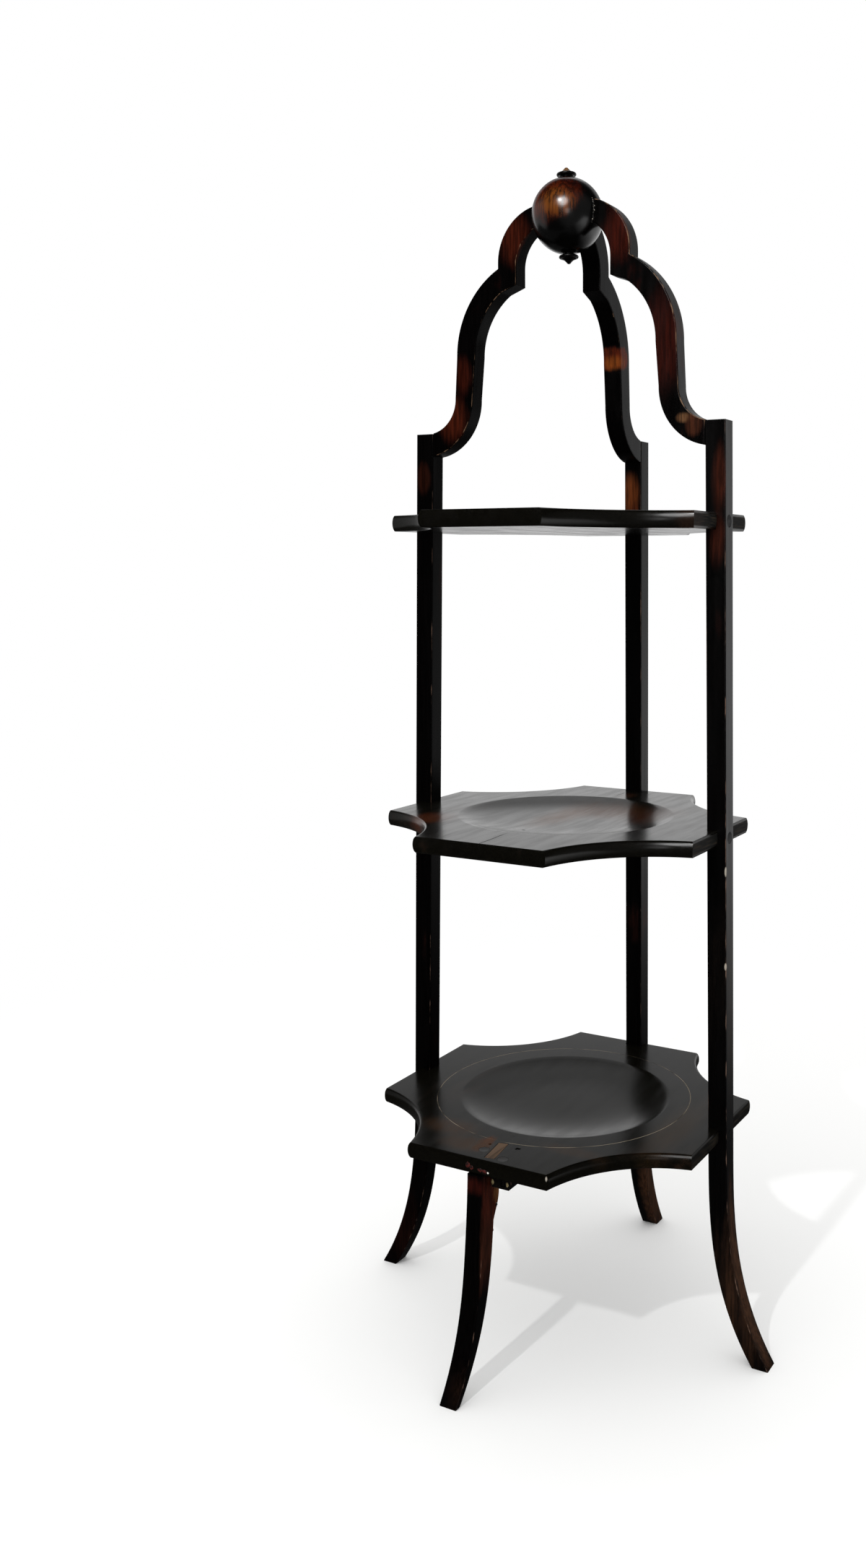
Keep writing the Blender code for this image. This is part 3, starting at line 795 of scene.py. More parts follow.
def prism(outline: list[Point], breadth: float) -> Shape:
    """A sharp-edged prism for cutting.

    Args:
        outline: Its points in X and Z.
        breadth: Size across Y.

    Returns:
        The prism as a mesh in work.
    """
    shape = bmesh.new()
    face = shape.faces.new([shape.verts.new((x, -breadth / 2, z)) for x, z in outline])
    extruded = bmesh.ops.extrude_face_region(shape, geom=[face])["geom"]
    verts = [item for item in extruded if isinstance(item, Vert)]
    bmesh.ops.translate(shape, verts=verts, vec=(0, breadth, 0))
    bmesh.ops.recalc_face_normals(shape, faces=shape.faces)
    return shape


def turned(profile: list[Point], segments: int = 48, closed: bool = False) -> Shape:
    """A closed solid turned round Z.

    Args:
        profile: Radius and height of its points, which start and end on the axis unless it is closed.
        segments: Steps of the whole turn.
        closed: Whether the last point joins the first, as in a ring.

    Returns:
        The solid as a mesh in work.
    """
    shape = bmesh.new()
    points = [shape.verts.new((radius, 0, height)) for radius, height in profile]
    edges = [shape.edges.new(pair) for pair in zip(points, points[1:] + points[:1] * closed)]
    bmesh.ops.spin(shape, geom=points + edges, cent=(0, 0, 0), axis=(0, 0, 1), angle=math.tau, steps=segments)
    bmesh.ops.remove_doubles(shape, verts=shape.verts, dist=MERGED)
    bmesh.ops.recalc_face_normals(shape, faces=shape.faces)
    return shape


def rod(radius: float, low: float, high: float) -> list[Point]:
    """Profile of a plain round rod between two heights."""
    return [(0, low), (radius, low), (radius, high), (0, high)]


def smooth_curve(points: list[Point], steps: int = 4) -> list[Point]:
    """Points of a smooth curve through given points.

    Args:
        points: The points that it passes through.
        steps: New points for each stretch.

    Returns:
        The curve, both ends among it.
    """
    padded = [points[0]] + points + [points[-1]]
    curve = []
    for a, b, c, d in zip(padded, padded[1:], padded[2:], padded[3:]):
        a, b, c, d = Vector(a), Vector(b), Vector(c), Vector(d)
        for step in range(steps):
            t = step / steps
            curve.append(tuple(0.5 * (2 * b + (c - a) * t + (2 * a - 5 * b + 4 * c - d) * t * t
                                      + (3 * b - a - 3 * c + d) * t ** 3)))
    return curve + [points[-1]]


@dataclass(frozen=True)
class SunkScrew:
    """A screw driven down through the bottom shelf, placed from the front leg's heel."""

    inset: float
    shift: float
    length: float


LEG_SCREW = SunkScrew(5.0 * MM, -3.2 * MM, 31.0 * MM)
BLOCK_SCREW = SunkScrew(13.4 * MM, 18.5 * MM, 20.5 * MM)


@dataclass
class Fixings:
    """The screws, plugs and dowels: their bores in the wood, and the frame's own nodes dressed."""

    plan: Plan
    dowel_radius: float = 3.0 * MM
    dowel_in_post: float = 10.0 * MM
    dowel_in_head: float = 12.0 * MM
    dowel_in_ball: float = 10.0 * MM
    dowel_in_crown: float = 9.0 * MM
    plug_radius: float = 4.6 * MM
    plug_ease: float = 0.15 * MM
    plug_length: float = 4.0 * MM
    shank_radius: float = 2.0 * MM
    head_radius: float = 3.8 * MM
    head_rim: float = 0.6 * MM
    head_cone: float = 2.4 * MM
    shelf_screw_length: float = 32.0 * MM
    sunk: float = 2.0 * MM

    def screw_bore(self, length: float, mouth: float, depth: float) -> list[Point]:
        """Profile of the hole round a screw, with the top of its head at nought.

        Args:
            length: Length of the screw.
            mouth: Radius of the hole over the head.
            depth: How deep the head lies.

        Returns:
            Radius and height of its points, from the tip up.
        """
        shank = self.shank_radius + GAP
        head = self.head_radius + GAP
        cone = -self.head_rim - GAP
        return [(0, -length - GAP), (shank, -length - GAP), (shank, cone - self.head_cone), (head, cone),
                (head, 0), (mouth, 0), (mouth, depth + OVERCUT), (0, depth + OVERCUT)]

    def shelf_bore(self, tier: Tier) -> Piece:
        """The bore of the screw from an upright into a shelf.

        Args:
            tier: The shelf.

        Returns:
            The cutter, on the +X side.
        """
        height = self.plan.shelf_middle[tier]
        head = self.plan.outer(height) - self.plug_length - GAP
        place = Matrix.Translation((head, 0, height)) @ Matrix.Rotation(QUARTER, 4, "Y")
        profile = self.screw_bore(self.shelf_screw_length, self.plug_radius + self.plug_ease, self.plug_length)
        return piece_from("bore", turned(profile, 32), place)

    def dowel_bore(self, joint: float, height: float, inward: float, outward: float) -> Piece:
        """The bore of a dowel along X, with its lengths to both sides of the joint."""
        place = Matrix.Translation((joint, 0, height)) @ Matrix.Rotation(QUARTER, 4, "Y")
        return piece_from("bore", turned(rod(self.dowel_radius + GAP, -inward - GAP, outward + GAP), 24), place)

    def head_bore(self) -> Piece:
        """The bore of the dowel between a post's head and its arch."""
        joint = self.plan.head_joint
        return self.dowel_bore(self.plan.inner(joint), joint, self.dowel_in_head, self.dowel_in_post)

    def ball_bore(self) -> Piece:
        """The bore of the dowel between the ball and an arch."""
        plan = self.plan
        return self.dowel_bore(plan.ball_radius, plan.ball_centre.z, self.dowel_in_ball, self.dowel_in_crown)

    def dress(self) -> None:
        """Give the hidden screws and dowels their finishes."""
        finishes = {"_screw": STEEL.material(), "_dowel": BEECH.material()}
        for (ending, material), (name, node) in product(finishes.items(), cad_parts.items()):
            if name.endswith(ending):
                for slot in node.material_slots:
                    slot.material = material


# The sums by which the sweep places a point: a name, the operation and its terms.
SWEEP_RULE = (
    ("half width", "MULTIPLY", "Width", 0.5),
    ("half breadth", "MULTIPLY", "Breadth", 0.5),
    ("off middle X", "ABSOLUTE", "X"),
    ("off middle Y", "ABSOLUTE", "Y"),
    ("beside X", "SUBTRACT", "half width", "off middle X"),
    ("beside Y", "SUBTRACT", "half breadth", "off middle Y"),
    ("off corner", "MAXIMUM", "beside X", "beside Y"),
    ("risen", "DIVIDE", "Z", "Sabre height"),
    ("left to rise", "SUBTRACT", 1.0, "risen"),
    ("drop", "MAXIMUM", "left to rise", 0.0),
    ("sweep", "POWER", "drop", "Sabre power"),
    ("inward", "SUBTRACT", "half width", "X"),
    ("inward share", "DIVIDE", "inward", "Width"),
    ("reach", "MULTIPLY_ADD", "inward share", "Toe taper", "Sabre reach"),
    ("lean", "MULTIPLY", "Splay", "Z"),
    ("middle", "ADD", "Spread", "half width"),
    ("leaning middle", "SUBTRACT", "middle", "lean"),
    ("straight", "ADD", "leaning middle", "X"),
    ("across", "MULTIPLY_ADD", "sweep", "reach", "straight"),
)


@dataclass
class Uprights:
    """Three uprights, each a straight post and a sabre leg in one board, swept by a rule."""

    plan: Plan
    fixings: Fixings
    sabre_height: float = 180.0 * MM
    toe_taper: float = 1.7 * MM
    sabre_power: float = 3.0
    rows: int = 190

    def build(self) -> None:
        """Make the three uprights."""
        plan = self.plan
        sizes = {"Width": plan.post_width, "Breadth": plan.post_breadth, "Height": plan.post_top, "Arris": ARRIS,
                 "Spread": plan.spread_floor, "Splay": plan.splay, "Sabre height": self.sabre_height,
                 "Sabre reach": plan.toe_spread - plan.outer(0), "Toe taper": self.toe_taper,
                 "Sabre power": self.sabre_power}
        tree = self.sweep_tree({**dict.fromkeys(sizes, "Float"), "Rows": "Int", "Finish": "Material"})
        for side in POSTS:
            finish = self.finish(side)
            name = f"{side.label}_upright_fine"
            piece = grown(linked(name, bpy.data.meshes.new(name)), tree,
                          {**sizes, "Rows": self.rows, "Finish": finish})
            carved(piece, self.fixings.head_bore(), *[self.fixings.shelf_bore(tier) for tier in Tier])
            piece.data.transform(plan.placed(side))
            settled(piece, finish, "upright_wood", f"{side.label}_upright")

    def finish(self, side: Side) -> Material:
        """The finish of one upright, with its own figure and marks.

        Args:
            side: Where the upright stands.

        Returns:
            The material.
        """
        leg, chip = (1.0, 0.22, 2.6), "#a8a092"
        rows = {
            Side.RIGHT: (((134, -8, 708), 9, "#431a0c", 0.75, (0.6, 0.3, 2.2), 0.6),
                         ((133, -8, 664), 7, "#43190b", 0.7, (0.8, 0.3, 2.4), 0.6),
                         ((168, 0, 62), 34, "#40291a", 0.9, leg, 0.45),
                         ((152, 0, 330), 30, "#1c150f", 0.8, (1.0, 0.22, 3.0), 0.5),
                         ((145.2, -7.6, 410), 1.0, chip, 1.0, (1, 1, 3.5), 0.25),
                         ((146.6, -7.6, 334), 0.9, chip, 1.0, (1, 1, 3.0), 0.25),
                         ((150.5, 0, 197), 4.6, "#050403", 0.8)),
            Side.BACK: (((-3, 122, 706), 9, "#6a3414", 0.85, (0.9, 0.3, 1.7), 0.55),
                        ((2, 122, 688), 6, "#4a200e", 0.9, (0.7, 0.3, 1.8)),
                        ((8, 168, 60), 34, "#3a2416", 0.85, (0.25, 1.0, 2.2), 0.45)),
            Side.LEFT: (((-131, -8, 716), 8, "#240c05", 0.8, (0.8, 0.3, 1.5)),
                        ((-168, -8, 40), 22, "#160704", 0.7, (0.7, 0.3, 1.6), 0.6)),
        }[side]
        gloss, wear = {Side.RIGHT: (0.17, 0.22), Side.BACK: (0.12, 0.1), Side.LEFT: (0.04, 0.05)}[side]
        return EbonisedWood(name=f"Ebonised beech, {side.label} upright", grain=Grain.ALONG_Z, gloss=gloss,
                            gloss_lost=0.2, seed=3.1 * side.value, rub=0.16, wear=wear,
                            spots=self.plan.spots(*rows)).material()

    def sweep_tree(self, inputs: dict[str, str]) -> Tree:
        """Build the tree that sweeps a rounded section up the post and shears it to the leg's line.

        Args:
            inputs: What type of value each named input takes.

        Returns:
            The geometry node tree.
        """
        tree = open_tree("upright_sweep", inputs)
        given = add_node(tree, "NodeGroupInput")
        section = add_node(tree, "GeometryNodeCurvePrimitiveQuadrilateral",
                           {"Width": given["Width"], "Height": given["Breadth"]})[0]
        split = add_node(tree, "GeometryNodeSubdivideCurve", {"Curve": section, "Cuts": 6})[0]
        eased = add_node(tree, "GeometryNodeFilletCurve", {"Curve": split, "Count": 4, "Radius": given["Arris"],
                                                           "Limit Radius": True}, mode="POLY")[0]
        top = add_node(tree, "ShaderNodeCombineXYZ", {"Z": given["Height"]})[0]
        line = add_node(tree, "GeometryNodeCurvePrimitiveLine", {"End": top})[0]
        spaced = add_node(tree, "GeometryNodeResampleCurve", {"Curve": line, "Count": given["Rows"]})[0]
        swept = add_node(tree, "GeometryNodeCurveToMesh", {"Curve": spaced, "Profile Curve": eased,
                                                           "Fill Caps": True})[0]
        merged = add_node(tree, "GeometryNodeMergeByDistance", {"Geometry": swept, "Distance": MERGED})[0]
        where = add_node(tree, "ShaderNodeSeparateXYZ", {0: add_node(tree, "GeometryNodeInputPosition")[0]})
        values = {**dict(given.items()), **dict(where.items())}
        for name, operation, *terms in SWEEP_RULE:
            fed = {number: values.get(term, term) for number, term in enumerate(terms)}
            values[name] = add_node(tree, "ShaderNodeMath", fed, operation=operation)[0]
        arris = add_node(tree, "ShaderNodeMapRange", {0: values["off corner"], 1: ARRIS * 0.3, 2: ARRIS_REACH,
                                                      3: 1.0, 4: 0.0}, clamp=True)[0]
        stored = add_node(tree, "GeometryNodeStoreNamedAttribute", {"Geometry": merged, "Name": "arris",
                                                                    "Value": arris},
                          data_type="FLOAT", domain="POINT")[0]
        moved = add_node(tree, "ShaderNodeCombineXYZ", {"X": values["across"], "Y": where["Y"], "Z": where["Z"]})[0]
        sheared = add_node(tree, "GeometryNodeSetPosition", {"Geometry": stored, "Position": moved})[0]
        close_tree(tree, sheared, given["Finish"])
        return tree


@dataclass
class Arches:
    """Three arched brackets from the posts' heads to the ball, each sawn from one board."""

    plan: Plan
    fixings: Fixings
    hollow_spread: float = 99.0 * MM
    hollow_radius: float = 27.0 * MM
    hollow_inner_spread: float = 82.7 * MM
    hollow_inner_radius: float = 45.2 * MM
    shoulder_spread: float = 97.0 * MM
    shoulder_radius: float = 72.8 * MM
    shoulder_width: float = 17.3 * MM
    shoulder_lift: float = 58.9 * MM
    step_spread: float = 57.8 * MM
    step_drop: float = 13.4 * MM
    ledge_spread: float = 54.5 * MM
    crown_radius: float = 39.8 * MM
    crown_lift: float = 4.1 * MM
    crown_inner_spread: float = 41.3 * MM
    crown_inner_radius: float = 30.0 * MM
    cope_depth: float = 8.0 * MM
    outside_points: int = 3 * (ARC_STEPS + 1)

    def build(self) -> None:
        """Make the three arches."""
        for side in POSTS:
            shape = board(self.outline(), self.plan.post_breadth, wear=self.worn_edges(side))
            piece = piece_from(f"{side.label}_arch_fine", shape)
            carved(piece, self.cope(side), self.fixings.ball_bore(), self.fixings.head_bore())
            piece.data.transform(self.plan.placed(side))
            settled(piece, self.finish(side), "arch_wood", f"{side.label}_arch")

    def worn_edges(self, side: Side) -> list[float]:
        """How worn an arch's arris is: the right one's outside is most, and the left one's inside.

        Args:
            side: Where the arch stands.

        Returns:
            The wear at each point of the outline.
        """
        outside, inside = {Side.RIGHT: (1.0, 0.74), Side.BACK: (0.8, 0.8), Side.LEFT: (0.7, 0.97)}[side]
        rest = len(self.outline()) - self.outside_points
        return [outside] * self.outside_points + [inside] * rest

    def cope(self, side: Side) -> Piece:
        """The ball, a hair larger, as an arch meets it.

        Args:
            side: Where the arch stands.

        Returns:
            The cutter, on the +X side.
        """
        shape = bmesh.new()
        bmesh.ops.create_uvsphere(shape, u_segments=96, v_segments=64, radius=self.plan.ball_radius + GAP)
        centre = self.plan.placed(side).inverted() @ self.plan.ball_centre
        return piece_from("cope", shape, Matrix.Translation(centre))

    def hollow(self, end: float, height: float, spread: float, radius: float) -> list[Point]:
        """The hollow at an arch's head.

        Args:
            end: How far from the axis it ends, at the post.
            height: Its height there.
            spread: How far from the axis it turns upright.
            radius: Its radius.

        Returns:
            Its points, from the post inwards.
        """
        centre = spread + radius
        centre_height = height + math.sqrt(radius ** 2 - (centre - end) ** 2)
        return arc(centre, centre_height, radius, math.tau - math.acos((end - centre) / radius), math.pi)

    def outline(self) -> list[Point]:
        """One arch, from the post's head over its outside to the ball and back along its inside.

        Returns:
            The outline's points in X and Z.
        """
        head_line, heel_line = self.plan.head_line, self.plan.head_line - self.plan.arch_depth
        end = self.plan.ball_radius - self.cope_depth
        inner_shoulder = self.shoulder_radius - self.shoulder_width
        offset = self.shoulder_spread - self.shoulder_radius
        shoulder_height = head_line + self.shoulder_lift
        step_height = shoulder_height + math.sqrt(self.shoulder_radius ** 2 - (self.step_spread - offset) ** 2)
        crown_offset = self.step_spread - self.crown_radius
        inner_offset = self.crown_inner_spread - self.crown_inner_radius
        outside = self.hollow(self.plan.inner(head_line) - GAP, head_line, self.hollow_spread, self.hollow_radius)
        outside += arc(offset, shoulder_height, self.shoulder_radius, 0,
                       math.acos((self.step_spread - offset) / self.shoulder_radius))
        outside += arc(crown_offset, step_height + self.crown_lift, self.crown_radius, 0,
                       math.acos((end - crown_offset) / self.crown_radius))
        inside = arc(inner_offset, step_height, self.crown_inner_radius,
                     math.acos((end - inner_offset) / self.crown_inner_radius), 0)
        inside += [(self.crown_inner_spread, step_height - self.step_drop)]
        inside += arc(offset, shoulder_height, inner_shoulder,
                      math.acos((self.ledge_spread - offset) / inner_shoulder), 0)
        inside += self.hollow(self.plan.inner(heel_line) - GAP, heel_line, self.hollow_inner_spread,
                              self.hollow_inner_radius)[::-1]
        return outside + inside

    def finish(self, side: Side) -> Material:
        """The finish of one arch, whose faces are rubbed to red brown.

        Args:
            side: Where the arch stands.

        Returns:
            The material.
        """
        face = (1.0, 0.3, 1.3)
        rows = {
            Side.RIGHT: (((86, -8, 812), 17, "#360d05", 0.7, (0.8, 0.3, 1.8), 0.6),
                         ((103.8, -8, 754), 4.2, "#6b4a30", 0.8, (1.2, 0.5, 0.8), 0.45),
                         ((112, -8, 749), 6, "#4b2718", 0.7, face),
                         ((48, -8, 893), 14, "#3c1006", 0.8, face, 0.6),
                         ((31, -8, 908), 9, "#030202", 1.0, (1.0, 1.0, 1.6), 0.6)),
            Side.BACK: (((0, 84, 816), 10, "#541c08", 1.0, (1.6, 1.1, 1.0), 0.16),
                        ((1, 82, 812), 7, "#8a4814", 0.55, (1.2, 1.0, 0.8), 0.5)),
            Side.LEFT: (((-101, -8, 762), 11, "#44180a", 0.8, face, 0.6),
                        ((-91, -8, 796), 8, "#330f06", 0.8, (0.8, 0.3, 1.6), 0.6),
                        ((-42, -8, 896), 12, "#40160a", 0.8, face, 0.6)),
        }[side]
        rub, gloss = {Side.RIGHT: (0.36, 0.13), Side.BACK: (0.08, 0.12), Side.LEFT: (0.24, 0.03)}[side]
        return EbonisedWood(name=f"Ebonised beech, {side.label} arch", grain=Grain.ALONG_Z, rub=rub, wear=0.42,
                            figure_stretch=4.0, patch_size=13 * MM, gloss=gloss, seed=5.3 + 2.2 * side.value,
                            rubbed="#290702", worn="#80654f", spots=self.plan.spots(*rows)).material()


@dataclass
class Shelves:
    """Three boards of one star plan, with a rounded edge and a dished well."""

    plan: Plan
    fixings: Fixings
    corner_cut: float = 80.4 * MM
    scoop_radius: float = 104.0 * MM
    scoop_steps: int = 36
    edge_steps: int = 12
    nosing_depth: float = 3.0 * MM
    nosing_steps: int = 12
    edge_ease: float = 1.0 * MM
    well_radius: float = 88.0 * MM
    well_depth: float = 5.5 * MM
    well_power: float = 4.0
    well_rings: int = 26
    ring_line: tuple[float, float, float, float] = (-1.5, -0.2, 107.9, 0.35)

    def build(self) -> None:
        """Make the three shelves."""
        marks = {Tier.BOTTOM: self.bottom_marks, Tier.MIDDLE: self.middle_marks, Tier.TOP: list}
        for tier in Tier:
            piece = piece_from(f"{tier.value}_shelf_fine", self.shape(tier))
            cutters = [cutter for side in POSTS for cutter in self.side_cutters(tier, side)]
            carved(piece, *cutters, *marks[tier]())
            piece.data.transform(self.plan.placed())
            settled(piece, self.finish(tier), "shelf_wood", f"{tier.value}_shelf")

    def ring(self, half: float, inset: float) -> list[Vector]:
        """The star plan drawn in by an inset, its scooped corners more than its straight edges.

        Args:
            half: Half the shelf's width.
            inset: How far in the corners are drawn.

        Returns:
            The plan's points.
        """
        edge_inset = min(inset, self.nosing_depth) * self.edge_ease / self.nosing_depth
        edge_inset += max(0.0, inset - self.nosing_depth)
        half_chord = self.corner_cut / math.sqrt(2)
        centre = half - self.corner_cut / 2 + math.sqrt(self.scoop_radius ** 2 - half_chord ** 2) / math.sqrt(2)
        radius = self.scoop_radius + inset
        across = half - edge_inset - centre
        along = math.sqrt(radius ** 2 - across ** 2)
        scoop = arc(centre, centre, radius, math.atan2(-along, across), math.atan2(across, -along),
                    self.scoop_steps)
        edge_start = Vector(scoop[-1])
        edge_end = Matrix.Rotation(QUARTER, 2) @ Vector(scoop[0])
        straight = [edge_start.lerp(edge_end, share / self.edge_steps) for share in range(1, self.edge_steps)]
        quarter = [Vector(point) for point in scoop] + straight
        return [Matrix.Rotation(QUARTER * turn, 2) @ point for turn in range(4) for point in quarter]

    def shape(self, tier: Tier) -> Shape:
        """The board with its nosing and its well, its middle at the shelf's height.

        Args:
            tier: Which shelf.

        Returns:
            The mesh in work, with the nosing's turn kept for the wear.
        """
        half, middle = self.plan.shelf_half(tier), self.plan.shelf_middle[tier]
        thick = self.plan.shelf_thickness / 2
        turns = [QUARTER * step / self.nosing_steps for step in range(self.nosing_steps + 1)]
        upper = [(self.nosing_depth * (1 - math.cos(turn)), thick * math.sin(turn), 0.6 * math.sin(turn) ** 6)
                 for turn in turns]
        upper.append((self.nosing_depth + 2.0 * MM, thick, 0.0))
        shape = bmesh.new()
        layer = shape.verts.layers.float.new("arris")
        rings = []
        for inset, level, worn in [(inset, -level, worn) for inset, level, worn in upper[::-1]] + upper:
            places = [(point.x, point.y, middle + level) for point in self.ring(half, inset)]
            rings.append(add_ring(shape, layer, places, worn))
        top = middle + thick
        rim = rings[-1]
        for radius, drop in self.well_profile():
            places = [(*vert.co.xy.normalized() * radius, top - drop) for vert in rim]
            rings.append(add_ring(shape, layer, places, 0.0))
        return skinned(shape, rings, shape.verts.new((0, 0, top - self.well_depth)))

    def well_profile(self) -> list[Point]:
        """The well's hollow, with its rim softened.

        Returns:
            Radius and depth of each ring of points, from the rim inwards.
        """
        rings = [(self.well_radius + 1.8 * MM, 0.0), (self.well_radius + 0.9 * MM, 0.05 * MM),
                 (self.well_radius, 0.17 * MM)]
        for step in range(1, self.well_rings):
            radius = self.well_radius * (1 - step / self.well_rings) ** 0.62
            depth = self.well_depth * (1 - (radius / self.well_radius) ** self.well_power)
            rings.append((radius, max(depth, 0.2 * MM)))
        return rings

    def side_cutters(self, tier: Tier, side: Side) -> list[Piece]:
        """The notch and the screw bore of one upright.

        Args:
            tier: The shelf that is cut.
            side: Where the upright stands.

        Returns:
            The cutters, round the stand's axis.
        """
        plan = self.plan
        height = plan.shelf_middle[tier]
        low = height - plan.shelf_thickness / 2 - OVERCUT
        high = height + plan.shelf_thickness / 2 + OVERCUT
        outside = plan.outer(height) + OVERCUT
        outline = [(plan.inner(low) - GAP, low), (outside, low), (outside, high), (plan.inner(high) - GAP, high)]
        cutters = [piece_from("notch", prism(outline, plan.post_breadth + 2 * GAP)), self.fixings.shelf_bore(tier)]
        for cutter in cutters:
            cutter.data.transform(side.turn)
        return cutters

    def surface(self, tier: Tier, x: float, y: float) -> float:
        """Height of a shelf's upper surface, in its well too.

        Args:
            tier: The shelf.
            x: Place across, in millimetres off the axis.
            y: Place from front to back, likewise.

        Returns:
            The height in metres.
        """
        reach = math.hypot(x, y) * MM / self.well_radius
        drop = self.well_depth * (1 - reach ** self.well_power) if reach < 1 else 0.0
        return self.plan.shelf_top(tier) - drop

    def slit(self, tier: Tier, path: list[Point], width: float, depth: float) -> Piece:
        """A cutter for a crack: a thin wedge along a path, closing at its ends.

        Args:
            tier: The shelf that is cut.
            path: Points in millimetres off the axis.
            width: Width of the crack at the surface, in millimetres.
            depth: Its depth, in millimetres.

        Returns:
            The cutter.
        """
        shape = bmesh.new()
        rows = []
        for i, point in enumerate(path):
            before, after = Vector(path[max(i - 1, 0)]), Vector(path[min(i + 1, len(path) - 1)])
            way = (after - before).normalized()
            share = 0.25 if i in (0, len(path) - 1) else 1.0
            aside = Vector((-way.y, way.x)) * width * share * MM
            place = Vector(point) * MM
            height = self.surface(tier, *point)
            corners = [(*(place + aside), height + depth * MM), (*(place - aside), height + depth * MM),
                       (*place, height - depth * share * MM)]
            rows.append([shape.verts.new(corner) for corner in corners])
        return piece_from("slit", skinned(shape, rows))

    def pit(self, tier: Tier, x: float, y: float, radius: float, depth: float, sides: int = 20) -> Piece:
        """A cutter for a small hole, round or with a few sides.

        Args:
            tier: The shelf that is cut.
            x: Place across, in millimetres off the axis.
            y: Place from front to back, likewise.
            radius: Radius at the surface, in millimetres.
            depth: Depth, in millimetres.
            sides: How many sides it has.

        Returns:
            The cutter.
        """
        place = Matrix.Translation((x * MM, y * MM, self.surface(tier, x, y)))
        profile = [(0, -depth * MM), (radius * 0.8 * MM, -depth * MM), (radius * MM, 0), (radius * MM, OVERCUT / 4),
                   (0, OVERCUT / 4)]
        return piece_from("pit", turned(profile, sides), place @ Matrix.Rotation(math.radians(38), 4, "Z"))

    def middle_marks(self) -> list[Piece]:
        """Cutters for the middle shelf's split, its crack at the back and the dents in its well.

        Returns:
            The cutters, round the stand's axis.
        """
        tier = Tier.MIDDLE
        split = [(2.2, -152.0), (2.0, -144.0), (1.1, -132.6), (0.6, -118.0), (-0.6, -104.0), (-1.3, -90.2)]
        crack = [(-3.0, 97.0), (-3.6, 107.0), (-2.9, 113.0), (-3.6, 119.5)]
        dent = [(-9.6, -58.2), (-7.9, -58.6), (-6.3, -57.4), (-6.0, -55.8)]
        dash = [(-19.5, -55.8), (-17.4, -55.3), (-15.4, -55.6)]
        sizes = ((split, 0.7, 2.6), (crack, 0.7, 2.0), (dent, 0.8, 1.0), (dash, 0.6, 0.6))
        return [self.slit(tier, *size) for size in sizes] + [self.pit(tier, -7.8, -56.6, 1.1, 1.3)]

    def bottom_marks(self) -> list[Piece]:
        """Cutters for what the bottom shelf alone has: the strip's pocket, two screws' bores, the
        scribed ring, and old holes.

        Returns:
            The cutters, round the stand's axis.
        """
        tier = Tier.BOTTOM
        leg = FrontLeg(self.plan, self.fixings)
        front = [FrontRepair(self.plan).pocket()]
        front += [leg.screw_bore(screw, 2 * GAP) for screw in (LEG_SCREW, BLOCK_SCREW)]
        for cutter in front:
            cutter.data.transform(Matrix.Rotation(-QUARTER, 4, "Z"))
        slot = [(1.6, -96.0), (4.1, -95.2), (6.4, -94.9)]
        holes = ((-4.2, -116.4, 1.2, 1.6), (19.4, -114.0, 2.7, 0.7, 4), (61.8, -146.5, 1.6, 1.2, 5))
        return [*front, self.scribe(), self.slit(tier, slot, 0.45, 0.8), *[self.pit(tier, *hole) for hole in holes]]

    def scribe(self) -> Piece:
        """A cutter for the scribed ring, a shallow groove round the well.

        Returns:
            The cutter.
        """
        x, y, radius, width = [size * MM for size in self.ring_line]
        profile = [(radius - width, OVERCUT / 8), (radius, -width), (radius + width, OVERCUT / 8)]
        place = Matrix.Translation((x, y, self.plan.shelf_top(Tier.BOTTOM)))
        return piece_from("scribe", turned(profile, 180, closed=True), place)

    def finish(self, tier: Tier) -> Material:
        """The finish of one shelf: an even satin polish, rubbed here and there.

        Args:
            tier: Which shelf.

        Returns:
            The material.
        """
        middle, bottom = self.plan.shelf_top(Tier.MIDDLE) / MM, self.plan.shelf_top(Tier.BOTTOM) / MM
        rows = {
            Tier.TOP: (((128, -45, 678), 12, "#20140d", 0.8),),
            Tier.MIDDLE: (((-12, 14, middle - 4), 17, "#583418", 0.65, (0.8, 2.4, 1), 0.85),
                          ((14, 46, middle - 4), 17, "#4c2a12", 0.75, (1.4, 1.4, 1), 0.75),
                          ((60, 38, middle - 2), 18, "#371b0c", 0.8, (1.2, 1.4, 1), 0.75),
                          ((3, 104, middle), 10, "#2c150a", 0.6, (0.9, 1.2, 1), 0.5),
                          ((-88, -68, middle), 15, "#43200f", 0.85, (1.1, 1.4, 1), 0.6)),
            Tier.BOTTOM: (((-9, -118, bottom), 10, "#4a2c1a", 0.85, (0.6, 1.4, 1), 0.35),
                          ((-22, -124, bottom), 14, "#33200f", 0.7, (1.4, 0.8, 1), 0.6),
                          ((-50, -102, bottom), 15, "#33200f", 0.7, (1.4, 0.8, 1), 0.6),
                          ((58, -98, bottom), 12, "#281a0c", 0.7, (2.0, 0.6, 1), 0.6),
                          ((112, -20, bottom), 22, "#261a0a", 0.8, (0.6, 2.2, 1), 0.6),
                          ((10.4, -143.7, 188.9), 0.8, "#d8d4cc", 1.0, (1, 1, 1), 0.2),
                          ((61.2, -144.0, 195.6), 1.1, "#9c958a", 0.9, (0.8, 1, 1.8), 0.3)),
        }[tier]
        x, y, radius, width = self.ring_line
        ring = (*self.plan.mark(x, y, 0)[:2], radius * MM, width * MM) if tier is Tier.BOTTOM else None
